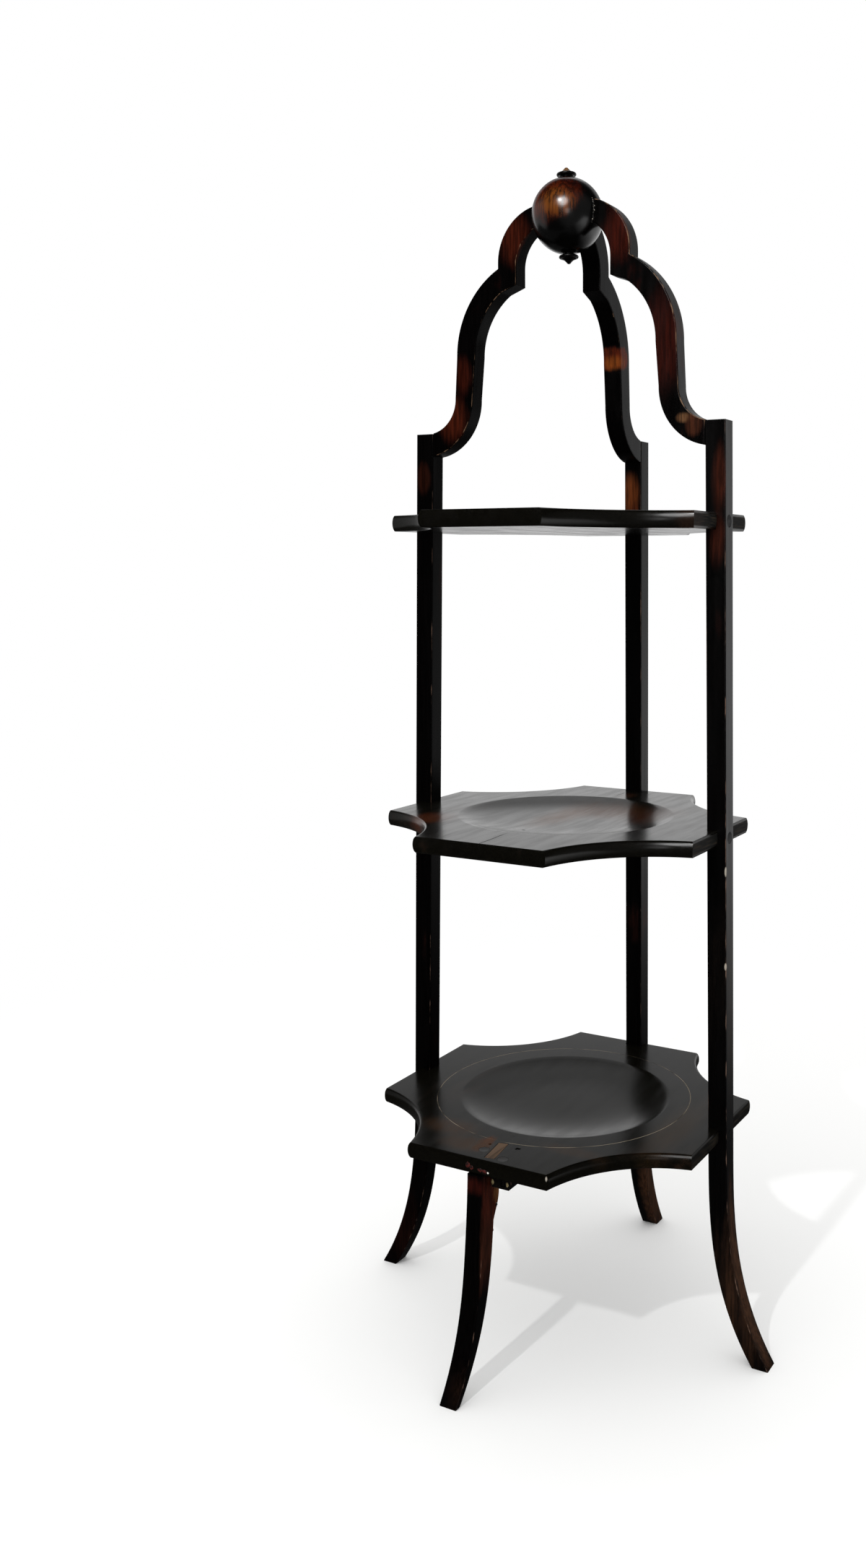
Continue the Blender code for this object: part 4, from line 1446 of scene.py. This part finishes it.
        return EbonisedWood(name=f"Polished ebonised board, {tier.value} shelf", grain=Grain.ALONG_Y, rub=0.24,
                            wear=0.0, roughness=0.22, seed=11.0 + len(tier.value), stain="#080704",
                            rubbed="#1d120a", grain_shown=0.3, raw_edges=True, figure_stretch=7.0,
                            pore_depth=0.03 * MM, dimple=2.4 * MM, dimple_share=0.82, patch_size=60 * MM,
                            gloss=0.145 if tier is Tier.BOTTOM else 0.3, gloss_lost=0.65,
                            spots=self.plan.spots(*rows), ring=ring).material()


@dataclass
class FrontLeg:
    """The short leg under the bottom shelf's front edge, with its glue block."""

    plan: Plan
    fixings: Fixings
    proud: float = 0.5 * MM
    toe_depth: float = 5.6 * MM
    sabre_height: float = 128.0 * MM
    inner_sabre_height: float = 143.0 * MM
    lean: float = 13.4 * MM
    lean_power: float = 1.35
    heel_depth: float = 6.5 * MM
    heel_height: float = 22.0 * MM
    heel_ramp: float = 20.0 * MM
    block_length: float = 17.8 * MM
    block_depth: float = 13.4 * MM
    block_height: float = 11.8 * MM
    block_setback: float = 9.0 * MM
    block_chamfer: float = 2.6 * MM
    steps: int = 40

    @property
    def outer(self) -> float:
        """Distance from the axis to the leg's outer face under the shelf."""
        return self.plan.shelf_half(Tier.BOTTOM) + self.proud

    @property
    def inner(self) -> float:
        """Distance from the axis to the leg's inner face below its heel."""
        return self.outer - self.plan.post_width

    @property
    def heel(self) -> float:
        """Distance from the axis to the heel's inner face."""
        return self.inner - self.heel_depth

    def sabre(self, start: float, reach: float, height: float) -> list[Point]:
        """A leg's curved line from the floor to where it turns straight."""
        heights = [height * step / self.steps for step in range(self.steps + 1)]
        return [(start + reach * (1 - z / height) ** 3, z) for z in heights]

    def outline(self) -> list[Point]:
        """The leg with its deeper heel, before it leans.

        Returns:
            The outline's points in X and Z.
        """
        top, toe = self.plan.front_leg_top, self.plan.front_toe_spread
        heel_foot = top - self.heel_height
        outside = self.sabre(self.outer, toe - self.outer, self.sabre_height)
        inside = self.sabre(self.inner, toe - self.toe_depth - self.inner, self.inner_sabre_height)
        straight = [(self.outer, self.sabre_height + (top - self.sabre_height) * share / 8) for share in range(1, 9)]
        ramp = smooth_curve([(self.heel, heel_foot), (self.heel + 1.4 * MM, heel_foot - 7 * MM),
                             (self.inner, heel_foot - self.heel_ramp)])
        return outside + straight + [(self.heel, top)] + ramp + inside[::-1][1:]

    def leaned(self, height: float) -> float:
        """How far the leg has leant sideways at a height."""
        share = max(0.0, 1 - height / self.plan.front_leg_top)
        return -self.lean * share ** self.lean_power

    def screw_place(self, screw: SunkScrew) -> Matrix:
        """Where a screw's head lies in the bottom shelf, on the +X side."""
        depth = self.plan.shelf_top(Tier.BOTTOM) - self.fixings.sunk
        return Matrix.Translation((self.heel + screw.inset, screw.shift, depth))

    def screw_bore(self, screw: SunkScrew, ease: float = 0.0) -> Piece:
        """The bore of a screw driven down through the shelf, its mouth wider by an ease."""
        profile = self.fixings.screw_bore(screw.length, self.fixings.head_radius + ease, self.fixings.sunk)
        return piece_from("bore", turned(profile, 24), self.screw_place(screw))

    def build(self) -> None:
        """Make the leg and its block."""
        shape = board(self.outline(), self.plan.post_breadth)
        for vert in shape.verts:
            vert.co.y += self.leaned(vert.co.z)
        leg = piece_from("front_leg_fine", shape)
        carved(leg, self.screw_bore(LEG_SCREW))
        leg.data.transform(self.plan.placed(Side.FRONT))
        marks = self.plan.spots(((-2, -144, 176), 6, "#2c0a05", 0.8, (1.6, 0.5, 1.0), 0.6),
                                ((8, -132, 150), 22, "#3a150b", 0.9, (0.12, 1.0, 1.6), 0.5),
                                ((8, -125, 165), 5, "#5b3a20", 0.8, (0.5, 1, 1.6), 0.4),
                                ((6, -138, 90), 22, "#3a1d12", 0.85, (0.14, 1.4, 2.4), 0.5),
                                ((-6, -172, 30), 20, "#2a1a12", 0.7, (0.8, 0.6, 1.2), 0.6))
        finish = EbonisedWood(name="Ebonised beech, front leg", grain=Grain.ALONG_Z, rub=0.16, gloss=0.06,
                              wear=0.1, seed=21.0, spots=marks)
        settled(leg, finish.material(), "front_leg_wood", "front_leg")
        self.build_block()

    def build_block(self) -> None:
        """Make the glue block in the corner between the leg and the shelf."""
        top, half = self.plan.front_leg_top, self.block_length / 2
        foot = top - self.block_height
        outline = [(-half, top), (-half, foot), (half - self.block_chamfer, foot), (half, foot + self.block_chamfer),
                   (half, top)]
        block = piece_from("glue_block_fine", board(outline, self.block_depth, reach=1.5 * MM))
        middle = self.outer - self.block_setback - self.block_depth / 2
        aside = self.plan.post_breadth / 2 + GAP + half
        block.data.transform(Matrix.Translation((middle, aside, 0)) @ Matrix.Rotation(QUARTER, 4, "Z"))
        carved(block, self.screw_bore(BLOCK_SCREW))
        block.data.transform(self.plan.placed(Side.FRONT))
        finish = EbonisedWood(name="Stained softwood block", grain=Grain.ALONG_X, rub=0.1, roughness=0.6,
                              seed=24.0, stain="#060403", rubbed="#1c0f08", wear=0.2, gloss=0.1)
        settled(block, finish.material(), "block_wood", "glue_block")


@dataclass
class FrontRepair:
    """The strip of newer wood let into the bottom shelf over the front leg."""

    plan: Plan
    length: float = 27.9 * MM
    width: float = 8.0 * MM
    thickness: float = 4.0 * MM
    setback: float = 5.5 * MM
    shift: float = 6.4 * MM
    turn: float = math.radians(8.2)

    @property
    def place(self) -> Matrix:
        """Where the strip lies, on the +X side."""
        middle = self.plan.shelf_half(Tier.BOTTOM) - self.setback - self.length / 2
        top = self.plan.shelf_top(Tier.BOTTOM)
        return Matrix.Translation((middle, self.shift, top)) @ Matrix.Rotation(self.turn, 4, "Z")

    def section(self, ease: float, height: float) -> list[Point]:
        """The strip's long section, eased all round and up to a height."""
        half, low = self.length / 2 + ease, -self.thickness - ease
        return [(-half, low), (half, low), (half, height), (-half, height)]

    def pocket(self) -> Piece:
        """The shape that the strip's pocket is cut with."""
        return piece_from("pocket", prism(self.section(GAP, OVERCUT), self.width + 2 * GAP), self.place)

    def build(self) -> None:
        """Make the strip."""
        shape = board(self.section(0, 0), self.width, 0.4 * MM, 1.2 * MM)
        strip = piece_from("repair_strip_fine", shape, self.plan.placed(Side.FRONT) @ self.place)
        finish = EbonisedWood(name="Newer hardwood strip, stained", grain=Grain.ALONG_Y, rub=0.8, roughness=0.42,
                              stain="#3a2a1f", rubbed="#57422f", wear=0.0, seed=31.0)
        settled(strip, finish.material(), "strip_wood", "repair_strip")


@dataclass
class Finial:
    """The ball and its two turned buttons."""

    plan: Plan
    fixings: Fixings
    tilt: float = math.radians(-2)
    neck_radius: float = 5.0 * MM
    button_radius: float = 7.65 * MM
    neck: float = 0.9 * MM
    flange: float = 2.2 * MM
    point: float = 4.2 * MM
    spigot_radius: float = 3.0 * MM
    spigot_length: float = 11.0 * MM

    @property
    def axis(self) -> Matrix:
        """The ball's middle and its slight tilt."""
        return Matrix.Translation(self.plan.ball_centre) @ Matrix.Rotation(self.tilt, 4, "Y")

    def pole(self, turn: float) -> Matrix:
        """Where a button stands on the ball, turned down from its top."""
        return self.axis @ Matrix.Rotation(turn, 4, "X") @ Matrix.Translation((0, 0, self.plan.ball_radius))

    def build(self) -> None:
        """Make the ball and the buttons."""
        shape = bmesh.new()
        bmesh.ops.create_uvsphere(shape, u_segments=128, v_segments=80, radius=self.plan.ball_radius)
        ball = piece_from("ball_fine", shape, self.axis)
        cutters = []
        for side in POSTS:
            cutters.append(self.fixings.ball_bore())
            cutters[-1].data.transform(self.plan.placed(side))
        poles = {"top": self.pole(0.0), "bottom": self.pole(math.pi)}
        for pole in poles.values():
            profile = rod(self.spigot_radius + GAP, -self.spigot_length - GAP, OVERCUT)
            cutters.append(piece_from("bore", turned(profile, 32), pole))
        carved(ball, *cutters)
        settled(ball, self.ball_finish(), "ball_wood", "ball")
        finish = EbonisedWood(name="Turned ebonised button", rub=0.2, roughness=0.3, seed=41.0, wear=0.0,
                              rubbed="#2c130a", gloss=0.2, spots=self.button_marks()).material()
        for label, pole in poles.items():
            button = piece_from(f"{label}_button_fine", turned(self.button_profile(), 72), pole)
            settled(button, finish, "button_wood", f"{label}_button")

    def button_profile(self) -> list[Point]:
        """A button's spigot, neck, rounded flange and hollow-sided point.

        Returns:
            Radius and height of its points, from the spigot's end up.
        """
        foot = GAP + self.neck
        top = foot + self.flange
        radius = self.button_radius
        lip = arc(radius - self.flange / 2, foot + self.flange / 2, self.flange / 2, -QUARTER, QUARTER, 8)
        shares = ((0.61, 0.18), (0.44, 0.36), (0.29, 0.62), (0.15, 0.9), (0, 1))
        slope = smooth_curve([(radius * 0.78, top + 0.05 * MM),
                              *[(radius * out, top + self.point * up) for out, up in shares]])
        return [(0, -self.spigot_length), (self.spigot_radius, -self.spigot_length), (self.spigot_radius, GAP),
                (self.neck_radius, GAP), (self.neck_radius, foot)] + lip + slope

    def button_marks(self) -> tuple[Spot, ...]:
        """The top button's point, rubbed paler than its flange."""
        tip = self.plan.ball_centre + Vector((-1.2 * MM, -3 * MM, self.plan.ball_radius + 7 * MM))
        return (Spot(tuple(tip), 4.4 * MM, "#7d5630", 0.9, (1.2, 1.2, 0.8), 0.5),)

    def ball_finish(self) -> Material:
        """The ball's high polish, brown over its upper front and black below, with a paler golden patch round the
        lamp's highlight that is painted sheen over the brown.

        Returns:
            The material.
        """
        # Painted colour: the first two spots make the ball brown over its upper front and black below.
        marks = (Spot((-0.001, -0.035, 0.9225), 21 * MM, "#350901", 1.0, (1.0, 1.0, 0.92), 0.3),
                 Spot((0.001, -0.036, 0.9170), 15 * MM, "#4e1c03", 0.75, (1.3, 1.0, 0.85), 0.34),
                 # Painted sheen: golden brown laid round the lamp's highlight, over the brown wood.
                 Spot((0.004, -0.036, 0.9145), 10 * MM, "#74420c", 0.55, (1.3, 1.0, 0.9), 0.45))
        return EbonisedWood(name="Polished ebonised ball", grain=Grain.ALONG_Z, rub=0.0, roughness=0.2, seed=51.0,
                            stain="#020202", rubbed="#3a1a0c", wear=0.0, gloss=0.65, gloss_lost=0.25,
                            grain_shown=0.75, figure_stretch=2.0, pore_depth=0.012 * MM, spots=marks).material()


@dataclass
class Repairs:
    """What was laid on by hand over the years: glue, putty, filler and stopping."""

    plan: Plan
    fixings: Fixings
    voxel: float = 0.3 * MM
    bead_dabs: int = 30

    def build(self) -> None:
        """Make the daubs and the stopping over the two screws in the bottom shelf."""
        glue = GLUE.material()
        leg_glue = [((5.9, -125.6, 155.0), (1.5, 1.8, 2.6)), ((5.6, -125.0, 158.5), (1.1, 1.4, 1.8)),
                    ((4.6, -128.6, 134.4), (1.0, 1.1, 1.6))]
        putty = [((-7.4, -143.6, 191.6), (2.1, 0.7, 2.7)), ((-4.4, -143.6, 190.2), (1.7, 0.6, 1.9)),
                 ((3.4, -143.6, 189.8), (2.5, 0.7, 1.7)), ((7.4, -143.5, 189.3), (2.2, 0.7, 1.9))]
        filler = [((9.4, -135.1, 178.3), (1.2, 0.5, 2.2)), ((22.4, -135.1, 178.6), (1.2, 0.5, 2.1))]
        self.daubed("arch_glue_fine", self.bead(), glue, "arch_wood")
        self.daubed("leg_glue_fine", leg_glue, glue, "front_leg_wood")
        self.daubed("leg_putty_fine", putty, PUTTY.material(), "front_leg_wood")
        self.daubed("block_filler_fine", filler, FILLER.material(), "block_wood")
        self.build_stopping()

    def bead(self) -> list[tuple[Place, Place]]:
        """Dabs of glue along the seam where the right arch's front face meets the ball.

        Returns:
            Middle and half sizes of each, in millimetres off the stand's axis.
        """
        face = self.plan.post_breadth / 2
        seam = math.sqrt(self.plan.ball_radius ** 2 - face ** 2)
        middle = self.plan.ball_centre.z
        outline = Arches(self.plan, self.fixings).outline()
        beyond = [math.atan2(z - middle, x) for x, z in outline if seam < math.hypot(x, z - middle) < seam + 3 * MM]
        high, low = max(beyond), min(beyond)
        dabs = []
        for i in range(self.bead_dabs):
            turn = high + (low - high) * i / (self.bead_dabs - 1)
            stray = noise.noise(Vector((i * 0.73, 2.1, 0.4)))
            reach = seam / MM + 0.5 + 0.9 * stray
            place = (reach * math.cos(turn), -face / MM - 0.1, middle / MM + reach * math.sin(turn))
            dabs.append((place, (0.75 + 0.5 * abs(stray), 0.6, 0.8 + 0.4 * stray)))
        return dabs

    def daubed(self, name: str, dabs: list[tuple[Place, Place]], finish: Material, slot: str) -> None:
        """Make one piece of the daubs that run together.

        Args:
            name: Name of the piece.
            dabs: Middle and half sizes of each, in millimetres off the stand's axis.
            finish: Its material.
            slot: The record's material slot.
        """
        shape = bmesh.new()
        for middle, sizes in dabs:
            place = Vector(self.plan.mark(*middle))
            for vert in bmesh.ops.create_icosphere(shape, subdivisions=3, radius=1.0)["verts"]:
                way = vert.co.copy()
                swell = (1 + 0.4 * noise.noise(way * 1.8 + place * 700)) * MM
                vert.co = place + Vector([part * size * swell for part, size in zip(way, sizes)])
        piece = piece_from(name, shape)
        joined = piece.modifiers.new("joined", "REMESH")
        joined.mode = "VOXEL"
        joined.voxel_size = self.voxel
        settled(baked(piece), finish, slot)

    def build_stopping(self) -> None:
        """Make the stopping that hides the leg's and the block's screws, flush with the bottom shelf."""
        leg = FrontLeg(self.plan, self.fixings)
        radius = self.fixings.head_radius + 1.8 * GAP
        profile = [(0, 0.05 * MM), (radius, 0.05 * MM), (radius, 1.8 * MM), (radius - 0.2 * MM, 1.96 * MM),
                   (radius * 0.6, 1.9 * MM), (radius * 0.3, 1.84 * MM), (0, 1.82 * MM)]
        stopping = bmesh.new()
        for screw in (LEG_SCREW, BLOCK_SCREW):
            disc = piece_from("disc", turned(profile, 40), leg.screw_place(screw))
            stopping.from_mesh(disc.data)
            bpy.data.objects.remove(disc)
        piece = piece_from("screw_stopping_fine", stopping, self.plan.placed(Side.FRONT))
        settled(piece, STOPPING.material(), "shelf_wood")


@dataclass
class Plugs:
    """The nine wood plugs over the shelf screws, flush with the uprights' outer faces."""

    plan: Plan
    fixings: Fixings

    def build(self) -> None:
        """Make the plugs in one piece, an instance for each screw."""
        names = [f"{side.label}_{tier.value}_screw_plug" for side, tier in product(POSTS, Tier)]
        finish = EbonisedWood(name="Stained end-grain plug", grain=Grain.ALONG_X, rub=0.2, roughness=0.5, wear=0.3,
                              seed=61.0).material()
        piece = grown(linked("screw_plugs_fine", self.seats()), self.plug_tree(),
                      {"Radius": self.fixings.plug_radius, "Length": self.fixings.plug_length, "Finish": finish})
        settled(piece, finish, "plug_wood", *names)

    def seats(self) -> bpy.types.Mesh:
        """A point at each plug's middle, with the way that it faces kept as an attribute.

        Returns:
            The points as a mesh.
        """
        points, facing = [], []
        for side, tier in product(POSTS, Tier):
            height = self.plan.shelf_middle[tier]
            middle = Vector((self.plan.outer(height) - self.fixings.plug_length / 2, 0, height))
            points.append(self.plan.placed(side) @ middle)
            facing.extend(side.turn @ Vector((1, 0, 0)))
        data = bpy.data.meshes.new("screw_plugs_fine")
        data.from_pydata(points, [], [])
        data.attributes.new("facing", "FLOAT_VECTOR", "POINT").data.foreach_set("vector", facing)
        return data

    def plug_tree(self) -> Tree:
        """Build the tree that stands a round plug on each seat.

        Returns:
            The geometry node tree.
        """
        tree = open_tree("plug_row", {"Geometry": "Geometry", "Radius": "Float", "Length": "Float",
                                      "Finish": "Material"})
        given = add_node(tree, "NodeGroupInput")
        plug = add_node(tree, "GeometryNodeMeshCylinder",
                        {"Vertices": 40, "Radius": given["Radius"], "Depth": given["Length"]})[0]
        facing = add_node(tree, "GeometryNodeInputNamedAttribute", {"Name": "facing"}, data_type="FLOAT_VECTOR")[0]
        turn = add_node(tree, "FunctionNodeAlignRotationToVector", {"Vector": facing}, axis="Z")[0]
        row = add_node(tree, "GeometryNodeInstanceOnPoints", {"Points": given["Geometry"], "Instance": plug,
                                                              "Rotation": turn})[0]
        close_tree(tree, row, given["Finish"])
        return tree


@dataclass(frozen=True)
class Patch:
    """A round patch of the surround that a gloss sees: the way to its middle, the cosines of the
    angles at which it begins and is full, and how bright it is."""

    way: Place
    edge: float
    full: float
    strength: float = 1.0

    def level(self, tree: Tree, way: Socket) -> Socket:
        """One inside the patch and nought outside it, for the way that a ray goes."""
        near = add_node(tree, "ShaderNodeVectorMath", {0: way, 1: self.way}, operation="DOT_PRODUCT")[1]
        return add_node(tree, "ShaderNodeMapRange", {0: near, 1: self.edge, 2: self.full}, **SOFT)[0]


@dataclass
class Studio:
    """A pale floor, a white surround, one small high lamp, and the camera."""

    lens: float = 30.489
    shift_x: float = -0.09887
    camera_place: Place = (0.51364, -0.96191, 0.64063)
    camera_right: Place = (0.88725, 0.46127, 0.00364)
    camera_forward: Place = (-0.45491, 0.87628, -0.15871)
    lamp_place: Place = (0.03, -1.87, 2.19)
    lamp_power: float = 60
    lamp_radius: float = 0.035
    diffuse_level: float = 1.1
    wall: Patch = Patch((-0.42, 0.907, 0.0), 0.53, 0.7)
    lights: tuple[Patch, ...] = (
        Patch((0.178, -0.839, 0.515), 0.955, 0.992, 12.0),  # high window
        Patch((0.453, -0.889, 0.052), 0.984, 0.998, 2.5),  # low window
        Patch((0.87, -0.5, 0.0), 0.3, 0.75, 0.1),  # glow on the right
        Patch((-0.966, -0.259, 0.0), 0.77, 0.94, 0.4),  # glow on the left
        Patch((-0.322, 0.695, 0.643), 0.97, 0.992, 0.5),  # glow over the wall
    )

    def build(self) -> None:
        """Set up the room."""
        self.build_floor()
        self.build_world()
        self.build_lamp()
        self.build_camera()
        bpy.context.scene.view_settings.view_transform = "Standard"

    def build_floor(self) -> None:
        """A wide matt white floor."""
        shape = bmesh.new()
        corners = [(-6, -0.75, 0), (6, -0.75, 0), (6, 8, 0), (-6, 8, 0)]
        shape.faces.new([shape.verts.new(corner) for corner in corners])
        floor = piece_from("floor", shape)
        floor.data.materials.append(self.floor_finish())

    def floor_finish(self) -> Material:
        """Matt white paint near the stand, which takes its shadow, and plain white farther off.

        A gloss sees it white behind the stand, most so on the right, and dim in front.

        Returns:
            The material.
        """
        coat = Coat("Matt white floor", "#f7f7f6")
        tree = coat.tree
        white = {"Color": (1, 1, 1, 1)}
        away = add_node(tree, "ShaderNodeVectorMath", {0: coat.place}, operation="LENGTH")[1]
        far = add_node(tree, "ShaderNodeMapRange", {0: away, 1: 0.35, 2: 1.2}, **SOFT)[0]
        rays = add_node(tree, "ShaderNodeLightPath")
        share = add_node(tree, "ShaderNodeMath", {0: far, 1: rays["Is Camera Ray"]}, operation="MULTIPLY")[0]
        plain = add_node(tree, "ShaderNodeEmission", white | {"Strength": 1.0})[0]
        mixed = add_node(tree, "ShaderNodeMixShader", {0: share, 1: coat.shader.outputs[0], 2: plain})[0]
        where = add_node(tree, "ShaderNodeSeparateXYZ", {0: coat.place})
        aside = add_node(tree, "ShaderNodeMath", {0: where["X"], 1: 0.0}, operation="MAXIMUM")[0]
        behind = add_node(tree, "ShaderNodeMath", {0: aside, 1: 2.2, 2: where["Y"]}, operation="MULTIPLY_ADD")[0]
        level = add_node(tree, "ShaderNodeMapRange", {0: behind, 1: 1.2, 2: 4.2, 3: 0.04, 4: 1.0})[0]
        mirrored = add_node(tree, "ShaderNodeEmission", white | {"Strength": level})[0]
        mixed = add_node(tree, "ShaderNodeMixShader", {0: rays["Is Glossy Ray"], 1: mixed, 2: mirrored})[0]
        feed(tree, tree.nodes["Material Output"], {"Surface": mixed})
        return coat.done({"Roughness": 0.95, "Specular IOR Level": 0.0})

    def build_world(self) -> None:
        """An even white surround, which a gloss sees as a bright wall behind, two windows in front
        and dim glows."""
        world = bpy.data.worlds.new("Studio surround")
        bpy.context.scene.world = world
        world.use_nodes = True
        tree = world.node_tree
        tree.nodes.clear()
        way = add_node(tree, "ShaderNodeTexCoord")["Generated"]
        height = add_node(tree, "ShaderNodeSeparateXYZ", {0: way})["Z"]
        overhead = add_node(tree, "ShaderNodeMapRange", {0: height, 1: 0.16, 2: 0.46, 3: 1.02, 4: 0.34}, **SOFT)[0]
        glossy = add_node(tree, "ShaderNodeMath", {0: self.wall.level(tree, way), 1: overhead},
                          operation="MULTIPLY")[0]
        for light in self.lights:
            glossy = add_node(tree, "ShaderNodeMath", {0: light.level(tree, way), 1: light.strength, 2: glossy},
                              operation="MULTIPLY_ADD")[0]
        rays = add_node(tree, "ShaderNodeLightPath")
        level = add_node(tree, "ShaderNodeMix", {0: rays["Is Glossy Ray"], 2: self.diffuse_level, 3: glossy})[0]
        seen = add_node(tree, "ShaderNodeMix", {0: rays["Is Camera Ray"], 2: level, 3: 1.0})[0]
        back = add_node(tree, "ShaderNodeBackground", {"Color": (1, 1, 1, 1), "Strength": seen})[0]
        add_node(tree, "ShaderNodeOutputWorld", {0: back})

    def build_lamp(self) -> None:
        """One small lamp, high in front, that casts the toes' shadows and the ball's highlight."""
        data = bpy.data.lights.new("key_lamp", "POINT")
        data.energy = self.lamp_power
        data.shadow_soft_size = self.lamp_radius
        linked("key_lamp", data).location = self.lamp_place

    def build_camera(self) -> None:
        """The camera, at the picture's viewing angle."""
        data = bpy.data.cameras.new("camera")
        data.lens = self.lens
        data.sensor_width = 36.0
        data.shift_x = self.shift_x
        data.clip_start = 0.01
        forward = Vector(self.camera_forward).normalized()
        up = Vector(self.camera_right).normalized().cross(forward).normalized()
        turn = Matrix((forward.cross(up), up, -forward)).transposed().to_4x4()
        camera = linked("camera", data)
        camera.matrix_world = Matrix.Translation(self.camera_place) @ turn
        bpy.context.scene.camera = camera


def main() -> None:
    """Build the stand piece by piece, then the studio."""
    logging.basicConfig(level=logging.INFO, format="%(name)s: %(message)s")
    plan = Plan.measured()
    fixings = Fixings(plan)
    fixings.dress()
    for kind in (Uprights, Arches, Shelves, FrontLeg):
        kind(plan, fixings).build()
    FrontRepair(plan).build()
    for kind in (Finial, Repairs, Plugs):
        kind(plan, fixings).build()
    Studio().build()


if __name__ == "__main__":
    main()
